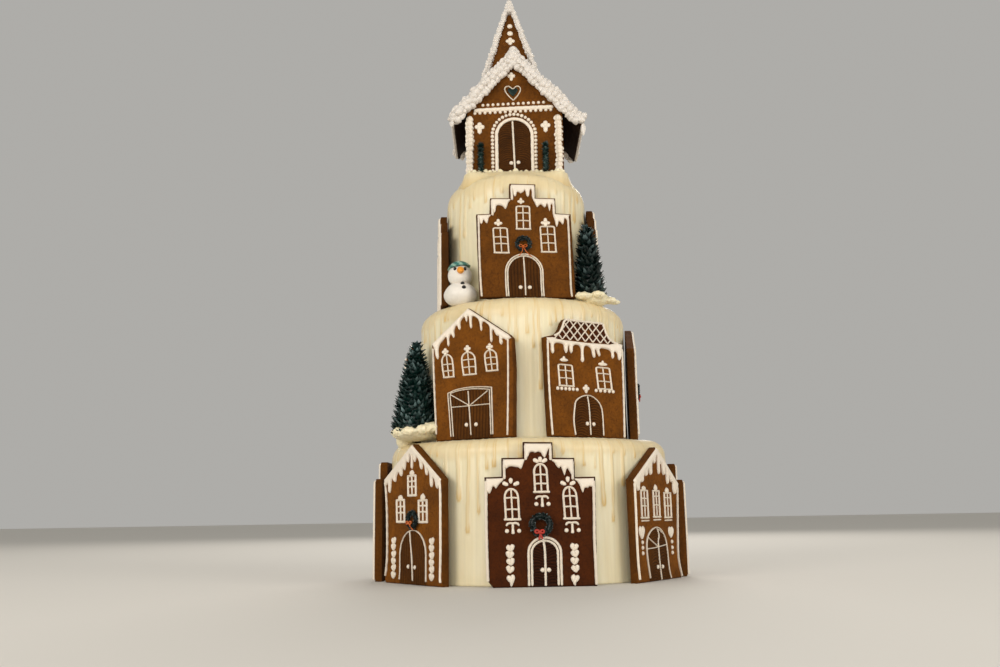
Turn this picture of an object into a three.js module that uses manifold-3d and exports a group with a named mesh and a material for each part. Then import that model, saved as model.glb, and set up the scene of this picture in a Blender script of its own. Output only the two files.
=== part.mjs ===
// A Christmas cake: three iced tiers ringed with piped gingerbread houses, and a gingerbread church on top.
// Millimetres, +Z up. The front faces -Y, and the origin is the middle of the bottom tier's flat base.

import * as THREE from "three";
import { mergeVertices } from "three/addons/utils/BufferGeometryUtils.js";
import Module from "manifold-3d";

const wasm = await Module();
wasm.setup();

// Air left between pieces that touch
const GAP = 0.35;

// Iced tiers: the two upper ones stand a little to the left, as hand-stacked tiers do
const TIERS = {
  bottom: { radius: 130, height: 124, shoulder: 16, centreX: 0, base: 0 },
  middle: { radius: 102.5, height: 131.5, shoulder: 20, centreX: -5, base: 124 + GAP + 0.8 },
  top: { radius: 71.5, height: 134, shoulder: 20, centreX: -8.5, base: 257 + GAP + 1.6 },
};
const TIER_SIDES = 32;
const GLAZE = 0.8; // thickness of the poured glaze over the top and down in drips
const DRIP_WIDTH = 8;

// Gingerbread biscuits and the royal icing piped on them
const BISCUIT = 7;
const WALL = 6;
const PIPE = 1.5; // how far piped icing stands out
const PIPE_ROOT = 1; // how deep it is fused in
const LINE = 2; // width of a piped line
const INSET = 2; // icing lines run this far inside a biscuit's edge
const STAND_OFF = GLAZE + 0.5; // from a tier's wall to the back of a house

// Church on the top tier
const CHURCH = { halfWidth: 49, depth: 88, eaves: 70.5, pitch: THREE.MathUtils.degToRad(47), centreX: -10.3,
  reach: { left: 64.5, right: 69.5 } };
const ROOF = { thickness: 6, front: 4, rope: 7.5, ropeDepth: 0.72, eaveRope: 2.6 };
const STEEPLE = { x: -11.4, y: -9, tip: 601, slope: 0.29, depth: 121, wall: 5, rope: 3.6, crown: 17,
  finial: 8 };
const ICING_BED = { height: 2.6, margin: 4, spread: 7 };

// Colours as sRGB
const COLOURS = {
  ivory: [0xe9dcb6, 0.45],
  darkBiscuit: [0x54301c, 0.85],
  biscuit: [0x7a4a26, 0.85],
  white: [0xf3ece2, 0.6],
  green: [0x12332c, 0.5],
};

const UP = new THREE.Vector3(0, 0, 1);

// Repeatable random numbers from 0 to 1
function seeded(seed) {
  let state = seed;
  return () => {
    state = (state * 1664525 + 1013904223) % 4294967296;
    return state / 4294967296;
  };
}

function signedVolume(points, triangles) {
  const corner = (i) => new THREE.Vector3().fromArray(points, 3 * triangles[i]);
  let volume = 0;
  for (let i = 0; i < triangles.length; i += 3)
    volume += corner(i).dot(corner(i + 1).cross(corner(i + 2)));
  return volume / 6;
}

// A closed three.js geometry as a solid that can be joined and cut
function solid(geometry) {
  geometry.deleteAttribute("normal");
  geometry.deleteAttribute("uv");
  const merged = mergeVertices(geometry, 1e-3);
  const vertProperties = new Float32Array(merged.attributes.position.array);
  const triVerts = new Uint32Array(merged.index.array);
  if (signedVolume(vertProperties, triVerts) < 0)
    for (let i = 0; i < triVerts.length; i += 3)
      [triVerts[i + 1], triVerts[i + 2]] = [triVerts[i + 2], triVerts[i + 1]];
  return new wasm.Manifold(new wasm.Mesh({ numProp: 3, vertProperties, triVerts }));
}

function geometryOf(made) {
  const mesh = made.getMesh();
  const points = new Float32Array(mesh.numVert * 3);
  for (let i = 0; i < mesh.numVert; i++)
    points.set(mesh.vertProperties.subarray(i * mesh.numProp, i * mesh.numProp + 3), i * 3);
  return new THREE.BufferGeometry()
    .setAttribute("position", new THREE.BufferAttribute(points, 3))
    .setIndex(new THREE.BufferAttribute(mesh.triVerts, 1));
}

const larger = (one, other) => (one.volume() > other.volume() ? one : other);

const largestOf = (made) => made.decompose().reduce(larger);

const fuse = (pieces) => pieces.reduce((whole, piece) => whole.add(piece));

const shapeOf = (points) => new THREE.Shape(points.map(([x, y]) => new THREE.Vector2(x, y)));

// A flat shape pushed out along Z between two heights
function extruded(shape, low, high) {
  const options = { depth: high - low, bevelEnabled: false, curveSegments: 4 };
  return new THREE.ExtrudeGeometry(shape, options).translate(0, 0, low);
}

// Icing lying on the front of a biscuit of a given thickness
const piped = (shape, thickness) => solid(extruded(shape, thickness - PIPE_ROOT, thickness + PIPE));

// The outline of a line of constant width along open points
function ribbon(points, width) {
  const half = width / 2;
  const sides = points.map((point, i) => {
    const before = points[Math.max(0, i - 1)];
    const after = points[Math.min(points.length - 1, i + 1)];
    const along = new THREE.Vector2(after[0] - before[0], after[1] - before[1]).normalize();
    return [point, [-along.y * half, along.x * half]];
  });
  const left = sides.map(([[x, y], [dx, dy]]) => [x + dx, y + dy]);
  const right = sides.map(([[x, y], [dx, dy]]) => [x - dx, y - dy]).reverse();
  return shapeOf([...left, ...right]);
}

function box(width, depth, height, x, y, z) {
  return solid(new THREE.BoxGeometry(width, depth, height).translate(x, y, z));
}

// A low dome of icing on a biscuit's face
function dot(x, y, radius, thickness) {
  const geometry = new THREE.CylinderGeometry(radius * 0.7, radius * 1.1, PIPE + PIPE_ROOT, 4);
  geometry.rotateX(Math.PI / 2).translate(x, y, thickness + (PIPE - PIPE_ROOT) / 2);
  return solid(geometry);
}

function heart(x, y, size, thickness) {
  const half = [[0, -0.6], [0.5, 0.1], [0.32, 0.45], [0, 0.24]];
  const mirrored = half.slice(1, -1).reverse().map(([u, v]) => [-u, v]);
  return piped(shapeOf([...half, ...mirrored].map(([u, v]) => [x + u * size, y + v * size])), thickness);
}

// A column of hearts standing on one another
function heartColumn({ x, low, count, size }, thickness) {
  const side = Array.from({ length: count }, (_, i) => [
    [size * 0.14, low + i * size * 0.95],
    [size * 0.5, low + (i + 0.7) * size * 0.95],
  ]).flat();
  const top = [[0, low + (count - 0.15) * size * 0.95]];
  const mirrored = side.map(([u, v]) => [-u, v]).reverse();
  return piped(shapeOf([...side, ...top, ...mirrored].map(([u, v]) => [x + u, v])), thickness);
}

// Three petals spread above a window or on a wall
function fleur(x, y, size, thickness) {
  const petals = [[0, 0], [0.7, 0.38], [0.24, 0.45], [0, 0.95], [-0.24, 0.45], [-0.7, 0.38]];
  return piped(shapeOf(petals.map(([u, v]) => [x + u * size, y + v * size])), thickness);
}

// A window frame with its panes side by side
function windowFrame({ x, y, width, height, arched, columns = 2 }, thickness) {
  const half = width / 2;
  const low = y - height / 2;
  const spring = arched ? y + height / 2 - half : y + height / 2;
  const arch = [[half * 0.6, spring + half * 0.8], [-half * 0.6, spring + half * 0.8]];
  const head = [[half, spring], ...(arched ? arch : []), [-half, spring]];
  const frame = shapeOf([[-half, low], [half, low], ...head].map(([u, v]) => [x + u, v]));
  const bar = 1.3;
  const paneWidth = (width - bar) / columns - bar;
  const paneHeight = spring - low - 2 * bar;
  let made = piped(frame, thickness);
  for (let column = 0; column < columns; column++) {
    const paneX = x - half + bar + paneWidth / 2 + column * (paneWidth + bar);
    made = made.subtract(box(paneWidth, paneHeight, 20, paneX, low + bar + paneHeight / 2, thickness));
  }
  return made;
}

// The line round a door, open at the floor: a round arch, or square
function doorLine({ x, width, height, arched }) {
  const half = width / 2;
  if (!arched) return [[x - half, 0], [x - half, height], [x + half, height], [x + half, 0]];
  const arch = [0, 1, 2, 3, 4].map((i) => {
    const angle = Math.PI - (i * Math.PI) / 4;
    return [x + half * Math.cos(angle), height - half + half * Math.sin(angle)];
  });
  return [[x - half, 0], ...arch, [x + half, 0]];
}

function door(spec, thickness) {
  const lift = 1;
  const line = doorLine(spec).map(([x, y]) => [x, Math.max(y, lift)]);
  const knobs = [-1, 1].map((side) => dot(spec.x + side * 3.2, spec.height * 0.3, 1.6, thickness));
  const across = [-1, 1].map((side) => [spec.x + (side * spec.width) / 2, spec.transom]);
  const bars = spec.transom ? [piped(ribbon(across, LINE * 0.8), thickness)] : [];
  return [piped(ribbon(line, spec.lineWidth ?? LINE), thickness), ...knobs, ...bars];
}

// Height of a roof's upper edge at a distance from the middle. The roof runs from the eaves in to the top.
function roofHeight(roof, x) {
  const across = Math.abs(x);
  let height = roof.at(-1)[1];
  for (let i = roof.length - 1; i > 0; i--) {
    const [outerX, outerY] = roof[i - 1];
    const [innerX, innerY] = roof[i];
    if (across >= innerX && across <= outerX)
      return outerX === innerX ? outerY : THREE.MathUtils.mapLinear(across, innerX, outerX, innerY, outerY);
    if (across > outerX) height = outerY;
  }
  return across < roof.at(-1)[0] ? roof.at(-1)[1] : height;
}

// Both halves of a symmetric roof line, from the right eaves over to the left
function bothHalves(roof) {
  const inner = roof.at(-1)[0] === 0 ? roof.slice(0, -1) : roof;
  return [...roof, ...inner.map(([x, y]) => [-x, y]).reverse()];
}

// Snow along the roof's edge with icicles hanging from it, and the lines that run down both sides
function snow(roof, band, random, spacing, low, [left, right]) {
  const outer = bothHalves(roof.map(([x, y]) => [Math.max(0, x - INSET), y - INSET]));
  const reach = 2.4;
  const under = (x) => Math.min(roofHeight(roof, Math.abs(x) + reach), roofHeight(roof, x)) - INSET - band;
  const ends = roof.map(([x]) => x - reach).filter((x, i, all) => x > 0 && all.indexOf(x) === i);
  const edge = outer[0][0];
  const inside = edge - LINE;
  const stops = [...new Set([-inside, ...ends.slice(1).map((x) => -x), ...ends.slice(1).reverse(), inside])];
  if (roof.at(-1)[0] === 0) stops.push(0);
  stops.sort((a, b) => a - b);
  const lower = [[left - edge, low], [left - inside, low]];
  stops.slice(0, -1).forEach((from, section) => {
    const to = stops[section + 1];
    const count = Math.max(1, Math.round((to - from) / spacing));
    const step = (to - from) / count;
    for (let i = 0; i < count; i++) {
      const left = from + i * step + 0.05;
      const tip = left + step * (0.4 + 0.25 * random());
      lower.push([left, under(left + 0.1)], [tip, under(tip) - 4 - 7 * random() ** 1.5]);
    }
    lower.push([to - 0.05, under(to - 0.15)]);
  });
  lower.push([inside - right, low], [edge - right, low]);
  return piped(shapeOf([...outer, ...lower]), BISCUIT);
}

// Crossed lines filling a mansard roof
function lattice(roof, low, thickness) {
  const [topHalf, top] = roof.at(-1);
  const high = top - INSET;
  return [-0.9, 0].flatMap((share) => [-1, 1].map((lean) => {
    const foot = lean * share * topHalf * 1.3;
    return piped(ribbon([[foot, low], [foot + lean * topHalf * 0.62, high]], LINE), thickness);
  }));
}

// One house front: a biscuit with its icing fused on, standing on its base with its back at z = 0.
// Those round the sides and back are piped more simply.
function house(design, seed, simple) {
  const { roof, windows, hearts = [], columns = [], fleurs = [], dots = [], latticed } = design;
  const { taper = [0, 0] } = design;
  const [halfWidth, eaves] = roof[0];
  const random = seeded(seed);
  const spacing = simple ? 20 : 12;
  const chip = 2.5;
  const [left, right] = [taper[0] - halfWidth, halfWidth - taper[1]];
  const foot = [[left, chip], [left + chip, 0], [right - chip, 0], [right, chip]];
  const outline = [...foot, ...bothHalves(roof)];
  const pieces = [
    solid(extruded(shapeOf(outline), 0, BISCUIT)),
    ...windows.map((spec) => windowFrame({ ...spec, columns: simple ? 0 : 2 }, BISCUIT)),
    ...door(design.door, BISCUIT).slice(0, simple ? 1 : undefined),
    ...hearts.map(([x, y, size]) => heart(x, y, size, BISCUIT)),
    ...columns.map((spec) => heartColumn(spec, BISCUIT)),
  ];
  if (!simple) {
    pieces.push(...fleurs.map(([x, y, size]) => fleur(x, y, size, BISCUIT)));
    pieces.push(...dots.map(([x, y, radius]) => dot(x, y, radius, BISCUIT)));
  }
  if (latticed) {
    const top = bothHalves(roof.slice(0).map(([x, y]) => [x - INSET, y - INSET]));
    const level = [[halfWidth, eaves + 1], [0, eaves + 1]];
    pieces.push(piped(ribbon(top, LINE), BISCUIT), ...(simple ? [] : lattice(roof, eaves - 4, BISCUIT)));
    pieces.push(snow(level, 3, random, spacing, chip, taper));
  } else pieces.push(snow(roof, design.band, random, spacing, chip, taper));
  return fuse(pieces);
}

const row = (xs, y, radius) => xs.map((x) => [x, y, radius]);

const ROOFS = {
  steppedWide: [[46.8, 90], [31.8, 90], [31.8, 106.5], [12.6, 106.5], [12.6, 119]],
  steppedTop: [[45.5, 83.5], [31.8, 83.5], [31.8, 99.5], [13, 99.5], [13, 113.5]],
  steppedSide: [[46, 95], [22, 95], [22, 112]],
  gableTall: [[46.5, 91.5], [0, 122.5]],
  gable: [[43.5, 88], [0, 118]],
  gableWide: [[40.8, 91], [0, 120.5]],
  mansard: [[43.5, 89], [30, 92], [25, 98], [22, 107]],
};

const DESIGNS = {
  steppedCentre: {
    roof: ROOFS.steppedWide, band: 4, taper: [2.2, 0.6],
    windows: [
      { x: 1.8, y: 89, width: 14, height: 25, arched: true },
      { x: -23.2, y: 67.5, width: 13.5, height: 27, arched: true },
      { x: 25.8, y: 68.3, width: 13.5, height: 26.5, arched: true },
    ],
    door: { x: 3.3, width: 26, height: 39, arched: true, lineWidth: 3.6 },
    columns: [{ x: -25.2, low: 2, count: 5, size: 6.8 }, { x: 27.8, low: 1, count: 5, size: 6.8 }],
    wreath: { x: 0.8, y: 51, radius: 7.9 },
    dark: true,
  },
  steppedTop: {
    roof: ROOFS.steppedTop, band: 4, taper: [1.3, 0.7],
    windows: [
      { x: -0.7, y: 79.3, width: 15.5, height: 24.5 },
      { x: -22.7, y: 57.5, width: 15.5, height: 26 },
      { x: 22.7, y: 57.7, width: 16, height: 26.5 },
    ],
    door: { x: -0.7, width: 35, height: 42.2, arched: true, lineWidth: 3.6 },
    wreath: { x: -1.4, y: 53.5, radius: 6.8 },
    fleurs: [[-2.5, 92.4, 6.5], [-24.3, 71.4, 7.5], [21.2, 71.9, 7.5]],
  },
  steppedSide: {
    roof: ROOFS.steppedSide, band: 4,
    windows: [
      { x: 0, y: 85, width: 14, height: 22 },
      { x: -25, y: 60, width: 14, height: 24 },
      { x: 25, y: 60, width: 14, height: 24 },
    ],
    door: { x: 0, width: 30, height: 42, arched: true },
  },
  gableHearts: {
    roof: ROOFS.gableTall, band: 3.5, taper: [2, 0],
    windows: [
      { x: 2, y: 87.5, width: 14, height: 19 },
      { x: -17.5, y: 65.5, width: 14.5, height: 21 },
      { x: 19.5, y: 65, width: 14.5, height: 21 },
    ],
    door: { x: 3.3, width: 40, height: 47, arched: true },
    columns: [{ x: -29, low: 3, count: 5, size: 7.6 }, { x: 34, low: 3, count: 5, size: 7.6 }],
    wreath: { x: 3.5, y: 56, radius: 7 },
  },
  gableRow: {
    roof: ROOFS.gable, band: 3.5, taper: [1, 1.5],
    windows: [-24.5, -2.8, 19].map((x) => ({ x, y: 67, width: 13, height: 27 })),
    door: { x: -4.5, width: 36, height: 46, arched: true, transom: 29.5 },
    hearts: [[-32.5, 44, 10.5], [24.5, 43, 10.5]],
    dots: [[-32, 34, 1.7], [-32, 29.5, 1.6], [-32, 25, 1.5], [25, 33, 1.7], [25, 28.5, 1.6], [25, 24, 1.5]],
  },
  gableTransom: {
    roof: ROOFS.gableWide, band: 3.5, taper: [3.8, 4.8],
    windows: [-22.5, -0.5, 22].map((x) => ({ x, y: 69.5, width: 13, height: 21.5, arched: true })),
    door: { x: 0.5, width: 42, height: 45, transom: 30, lineWidth: 3 },
    fleurs: [[-24.5, 81, 6], [-2.5, 81, 6], [20.5, 81, 6]],
  },
  mansard: {
    roof: ROOFS.mansard, latticed: true, taper: [3.7, 2.9],
    windows: [{ x: -22.5, y: 55, width: 17.5, height: 20 }, { x: 19.5, y: 56, width: 18, height: 20 }],
    door: { x: 1, width: 31, height: 37.5, arched: true },
    fleurs: [[-24, 67.5, 5], [19.5, 68.5, 5], [0, 41.5, 6]],
    dots: [...row([-30, -22.5, -15], 42.5, 2), ...row([12, 19.5, 27], 43.3, 2)],
  },
};

// Houses round each tier: azimuth in degrees from the front, towards +X, then the design, any extra distance
// from the wall, whether a wreath hangs on it, and its height as a share of its design's
const HOUSES = [
  ["bottom", "front", 2, "steppedCentre", 0, true, 1],
  ["bottom", "front_left", -52.6, "gableHearts", 0, true, 1],
  ["bottom", "front_right", 53.6, "gableRow", 0, false, 1],
  ["bottom", "left", -93.5, "steppedSide", 7.5, false, 1],
  ["bottom", "right", 95, "steppedSide", 3.5, false, 0.945],
  ["bottom", "back_left", -154, "gableRow", 0, false, 1],
  ["bottom", "back_right", 154, "gableTransom", 0, false, 1],
  ["middle", "front_left", -25.9, "gableTransom", 0, false, 1],
  ["middle", "front_right", 31, "mansard", 0, false, 1],
  ["middle", "right", 83.5, "gableHearts", 0.5, true, 0.93],
  ["middle", "back_right", 140, "steppedTop", 0, false, 1],
  ["middle", "back_left", -152, "steppedSide", 0, false, 1],
  ["middle", "left", -100, "mansard", 0, false, 1],
  ["top", "front", 5.2, "steppedTop", 0, true, 1],
  ["top", "left", -84.5, "steppedTop", 0, false, 0.9],
  ["top", "right", 87.5, "steppedTop", 0, false, 0.935],
  ["top", "back", 180, "gableHearts", 0, false, 1],
];

const topOf = (tier) => tier.base + tier.height;

const slopeRise = Math.tan(CHURCH.pitch);
const churchBase = topOf(TIERS.top) + GLAZE + GAP;
const gableTop = CHURCH.eaves + CHURCH.halfWidth * slopeRise;

// A tier's outline grown by a margin, as radius and height
function tierProfile({ radius, height, shoulder }, grow = 0) {
  const curve = [0, 1, 2, 3].map((i) => {
    const angle = (i * Math.PI) / 6;
    const out = shoulder + grow;
    return [radius - shoulder + out * Math.cos(angle), height - shoulder + out * Math.sin(angle)];
  });
  return [[0, grow ? -grow : 0], [radius + grow, grow ? -grow : 0], ...curve, [0, height + grow]];
}

function turned(profile, sides) {
  const points = profile.map(([x, y]) => new THREE.Vector2(x, y));
  return new THREE.LatheGeometry(points, sides).rotateX(Math.PI / 2);
}

const tierSpace = (tier, grow) =>
  solid(turned(tierProfile(tier, grow), TIER_SIDES).translate(tier.centreX, 0, tier.base));

// A frame standing on a tier's wall: x along the wall, y up, z outwards
function wallFrame(azimuth, distance, base, centreX) {
  const angle = THREE.MathUtils.degToRad(azimuth);
  const outward = new THREE.Vector3(Math.sin(angle), -Math.cos(angle), 0);
  const along = new THREE.Vector3(Math.cos(angle), Math.sin(angle), 0);
  const origin = outward.clone().multiplyScalar(distance).add(new THREE.Vector3(centreX, 0, base));
  return new THREE.Matrix4().makeBasis(along, UP, outward).setPosition(origin);
}

// Where drips run down between the houses: azimuth and length
const DRIPS = {
  bottom: [[-26, 68], [27, 46], [79, 62], [-79, 50], [128, 70], [-128, 58]],
  middle: [[13, 92], [58, 52], [112, 60], [-62, 48], [-118, 66]],
  top: [[-46, 42], [48, 50], [-134, 60], [134, 44]],
};

// A tongue of glaze with a round end, cut out of the glaze's own thickness
function drip(tier, azimuth, length) {
  const half = DRIP_WIDTH / 2;
  const top = tier.height - tier.shoulder;
  const low = tier.height - tier.shoulder - length;
  const round = [0, 1, 2].map((i) => {
    const angle = Math.PI + (i * Math.PI) / 2;
    return [half * Math.cos(angle), low + half * Math.sin(angle)];
  });
  const tongue = extruded(shapeOf([[half, top], [-half, top], ...round]), -12, 4);
  return solid(tongue.applyMatrix4(wallFrame(azimuth, tier.radius, 0, 0)));
}

// Icing that the church is bedded in: a low bank round its foot, left clear of the walls
function icingBed() {
  const { halfWidth, depth, centreX } = CHURCH;
  const { height, margin, spread } = ICING_BED;
  const level = churchBase + height - GAP;
  const halves = [halfWidth + margin, depth / 2 + PIPE + margin + 4];
  const bank = new THREE.CylinderGeometry(Math.SQRT2, Math.SQRT2, 22, 4, 1);
  bank.rotateY(Math.PI / 4).rotateX(Math.PI / 2);
  const points = bank.attributes.position;
  for (let i = 0; i < points.count; i++) {
    const grow = points.getZ(i) > 0 ? 0 : spread;
    points.setXY(i, points.getX(i) * (halves[0] + grow), points.getY(i) * (halves[1] + grow));
  }
  const spec = TIERS.top;
  const profile = [[0, -30], [spec.radius - 1, -30], [spec.radius - 1, -8], [spec.radius - 8, 0], [0, 0]];
  const rounded = solid(turned(profile, TIER_SIDES).translate(spec.centreX, 0, level));
  const room = [2 * (halfWidth + GAP + 1.5), depth + 2 * (GAP + PIPE + 2), 40];
  const walls = box(...room, centreX, 0, churchBase - GAP + 20);
  return solid(bank.translate(centreX, 0, level - 11)).intersect(rounded).subtract(walls);
}

// A tier with the longest drips of its glaze standing proud
function tier(name) {
  const spec = TIERS[name];
  const space = solid(turned(tierProfile(spec, GLAZE), TIER_SIDES));
  const drips = fuse(DRIPS[name].map(([azimuth, length]) => drip(spec, azimuth, length)));
  const body = solid(turned(tierProfile(spec), TIER_SIDES));
  const made = body.add(drips.intersect(space)).translate(spec.centreX, 0, spec.base);
  return name === "top" ? made.add(icingBed()) : made;
}

const root = new THREE.Group();

const finishes = Object.fromEntries(Object.entries(COLOURS).map(([name, [color, roughness]]) => [
  name, new THREE.MeshStandardMaterial({ name, color, roughness, metalness: 0 }),
]));

function addNode(name, made, finish, matrix) {
  const mesh = new THREE.Mesh(geometryOf(made), finishes[finish]);
  mesh.name = name;
  if (matrix) matrix.decompose(mesh.position, mesh.quaternion, mesh.scale);
  root.add(mesh);
}

// A leafy ring with a bow at its foot, lying on a biscuit
function wreath({ x, y, radius }) {
  const tube = radius * 0.36;
  const lift = BISCUIT + GAP + tube;
  const ring = new THREE.TorusGeometry(radius, tube, 4, 9).translate(x, y, lift);
  const half = [[4, 2.2], [4, -1.4], [1, -0.6], [2.6, -5]];
  const mirrored = half.map(([u, v]) => [-u, v]).reverse();
  const bow = shapeOf([[0, 0.8], ...half, [0, -1.2], ...mirrored]);
  const knot = extruded(bow, lift, lift + tube + 1).translate(x, y - radius, 0);
  return fuse([solid(ring), solid(knot)]);
}

function houseFrame([tierName, , azimuth, , out]) {
  const spec = TIERS[tierName];
  const lift = tierName === "bottom" ? 0 : GAP;
  return wallFrame(azimuth, spec.radius + STAND_OFF + out, spec.base + lift, spec.centreX);
}

// The room taken up by a house and the icing on its face
function houseSpace(placed) {
  const roof = DESIGNS[placed[3]].roof;
  const width = 2 * roof[0][0] + 2 * GAP;
  const depth = BISCUIT + PIPE + 2 * GAP;
  const height = roof.at(-1)[1] * placed[6] + 3;
  const middle = [0, height / 2 + GAP - 3, depth / 2 - GAP];
  const room = new THREE.BoxGeometry(width, height, depth).translate(...middle);
  return solid(room.applyMatrix4(houseFrame(placed)));
}

function addHouses() {
  HOUSES.forEach((placed, i) => {
    const [tierName, side, , designName, , wreathed, tall] = placed;
    const design = DESIGNS[designName];
    const matrix = houseFrame(placed);
    const made = house(design, i + 1, !side.startsWith("front")).scale([1, tall, 1]);
    addNode(`house_${tierName}_${side}`, made, design.dark ? "darkBiscuit" : "biscuit", matrix);
    if (wreathed) {
      const { x, y, radius } = design.wreath;
      const ring = wreath({ x, y: y * tall, radius: radius * tall });
      addNode(`wreath_${tierName}_${side}`, ring, "green", matrix);
    }
  });
}

// A rope of piped shells between two points, as a turned string of beads, or plain
function rope(from, to, radius, { grow = 0, sides = 5, plain = false } = {}) {
  const length = from.distanceTo(to);
  const count = Math.round(length / (radius * 2.2));
  const pitch = length / count;
  const profile = [[0, -radius * 0.4 - grow]];
  if (plain) profile.push([radius + grow, radius * 0.5], [radius + grow, length - radius]);
  else
    for (let i = 0; i < count; i++) {
      profile.push([radius + grow, (i + 0.5) * pitch]);
      if (i < count - 1) profile.push([radius * 0.72 + grow, (i + 1) * pitch]);
    }
  profile.push([0, length + radius * 0.4 + grow]);
  const turn = new THREE.Quaternion().setFromUnitVectors(UP, to.clone().sub(from).normalize());
  return solid(turned(profile, sides).applyQuaternion(turn).translate(from.x, from.y, from.z));
}

// A gable wall in its own frame, outline first
function gableWall(decoration) {
  const { halfWidth, eaves } = CHURCH;
  const gable = [[halfWidth, eaves], [0, gableTop], [-halfWidth, eaves]];
  const outline = shapeOf([[-halfWidth, 0], [halfWidth, 0], ...gable]);
  return fuse([solid(extruded(outline, 0, WALL)), ...decoration]);
}

// A line with a scalloped edge, like a row of touching beads
function beaded(points, width, bead) {
  const path = new THREE.CurvePath();
  const corners = points.map(([x, y]) => new THREE.Vector2(x, y));
  corners.slice(1).forEach((corner, i) => path.add(new THREE.LineCurve(corners[i], corner)));
  const count = 2 * Math.round(path.getLength() / bead / 2) * 2;
  const outer = [];
  const inner = [];
  for (let i = 0; i <= count; i++) {
    const at = path.getPoint(i / count);
    const along = path.getTangent(i / count);
    const half = i % 2 ? width / 2 : width / 2 - 0.7;
    outer.push([at.x - along.y * half, at.y + along.x * half]);
    if (i % 4 === 0) inner.push([at.x + along.y * width / 2, at.y - along.x * width / 2]);
  }
  return shapeOf([...outer, ...inner.reverse()]);
}

// A rope of shells up the corner of a gable wall
function cornerRope(side) {
  const x = side * (CHURCH.halfWidth - 3.2);
  const z = WALL - 1.1;
  return rope(new THREE.Vector3(x, 3, z), new THREE.Vector3(x, CHURCH.eaves - 12, z), 4.3, { sides: 4 });
}

function frontWall() {
  const lift = 1;
  const surround = doorLine({ x: -1, width: 42, height: 65, arched: true });
  const arch = surround.map(([x, y]) => [x, Math.max(y, lift)]);
  return gableWall([
    piped(beaded(arch, 6, 9), WALL),
    piped(ribbon([[-41, 74], [39, 74]], 5), WALL),
    ...door({ x: -1, width: 33, height: 57, arched: true, lineWidth: 1.6 }, WALL).slice(1),
    heart(-1.5, 93, 15, WALL),
    fleur(-36, 50, 10, WALL),
    fleur(32.5, 50, 10, WALL),
    ...[-1, 1].map(cornerRope),
  ]);
}

function backWall() {
  return gableWall([
    windowFrame({ x: 0, y: 42, width: 24, height: 40, arched: true }, WALL),
    piped(ribbon([[-41, 74], [41, 74]], 5), WALL),
    heart(0, 93, 15, WALL),
    ...[-1, 1].map(cornerRope),
  ]);
}

function sideWall() {
  const half = CHURCH.depth / 2 - WALL - GAP;
  const outline = shapeOf([[-half, 0], [half, 0], [half, CHURCH.eaves - 0.5], [-half, CHURCH.eaves - 0.5]]);
  const windows = [-17, 17].map((x) => windowFrame({ x, y: 38, width: 15, height: 28, arched: true }, WALL));
  return fuse([solid(extruded(outline, 0, WALL)), ...windows]);
}

// A roof panel in the cake's frame: side 1 falls towards +X, and -1 towards -X
function roofPanel(side) {
  const { halfWidth, depth, eaves, centreX } = CHURCH;
  const reach = side > 0 ? CHURCH.reach.right : CHURCH.reach.left;
  const lift = ROOF.thickness / Math.cos(CHURCH.pitch);
  const under = (x) => churchBase + eaves + (halfWidth - x) * slopeRise + GAP * 1.5;
  const section = [0.2, reach].flatMap((x, i) => {
    const heights = [under(x), under(x) + lift];
    return (i ? heights.reverse() : heights).map((z) => [x, z]);
  });
  const length = depth + 2 * ROOF.front;
  const panel = solid(extruded(shapeOf(section.map(([x, z]) => [side * x, z])), -length / 2, length / 2)
    .rotateX(Math.PI / 2).translate(centreX, 0, 0));
  const edgeAt = (x, y) => new THREE.Vector3(centreX + side * x, y, under(x) + lift / 2);
  const gableRopes = [-1, 1].map((end) => {
    const y = end * (depth / 2 + ROOF.rope * ROOF.ropeDepth + GAP + 0.1);
    const beads = rope(edgeAt(reach - 2.5, 0), edgeAt(ROOF.rope * 0.62, 0), ROOF.rope);
    return beads.scale([1, ROOF.ropeDepth, 1]).translate(0, y, 0);
  });
  const eaveEnds = [-1, 1].map((end) => edgeAt(reach + 0.6, (end * length) / 2));
  const eave = rope(...eaveEnds, ROOF.eaveRope, { plain: true });
  const tiles = [0.3, 0.55, 0.8].map((share) => {
    const x = centreX + side * reach * share;
    const bar = new THREE.BoxGeometry(2.2, length - 14, 3).rotateY(side * CHURCH.pitch);
    return solid(bar.translate(x, 0, under(reach * share) + lift));
  });
  const tower = pyramid(STEEPLE.tip + GAP / STEEPLE.slope + 1, STEEPLE.depth, STEEPLE.slope);
  return fuse([panel, ...gableRopes, eave, fuse(tiles).subtract(tower)]);
}

const roofSpace = () => {
  const reach = CHURCH.reach.right + 20;
  const peak = churchBase + gableTop + GAP * 1.5 + ROOF.thickness / Math.cos(CHURCH.pitch) + GAP * 1.6;
  const section = [[0, peak], [-reach, peak - reach * slopeRise], [reach, peak - reach * slopeRise]];
  return solid(extruded(shapeOf(section), -80, 80).rotateX(Math.PI / 2).translate(CHURCH.centreX, 0, 0));
};

function pyramid(tip, depth, slope) {
  const half = depth * slope;
  return solid(new THREE.ConeGeometry(half * Math.SQRT2, depth, 4).rotateY(Math.PI / 4).rotateX(Math.PI / 2)
    .translate(STEEPLE.x, STEEPLE.y, tip - depth / 2));
}

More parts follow.
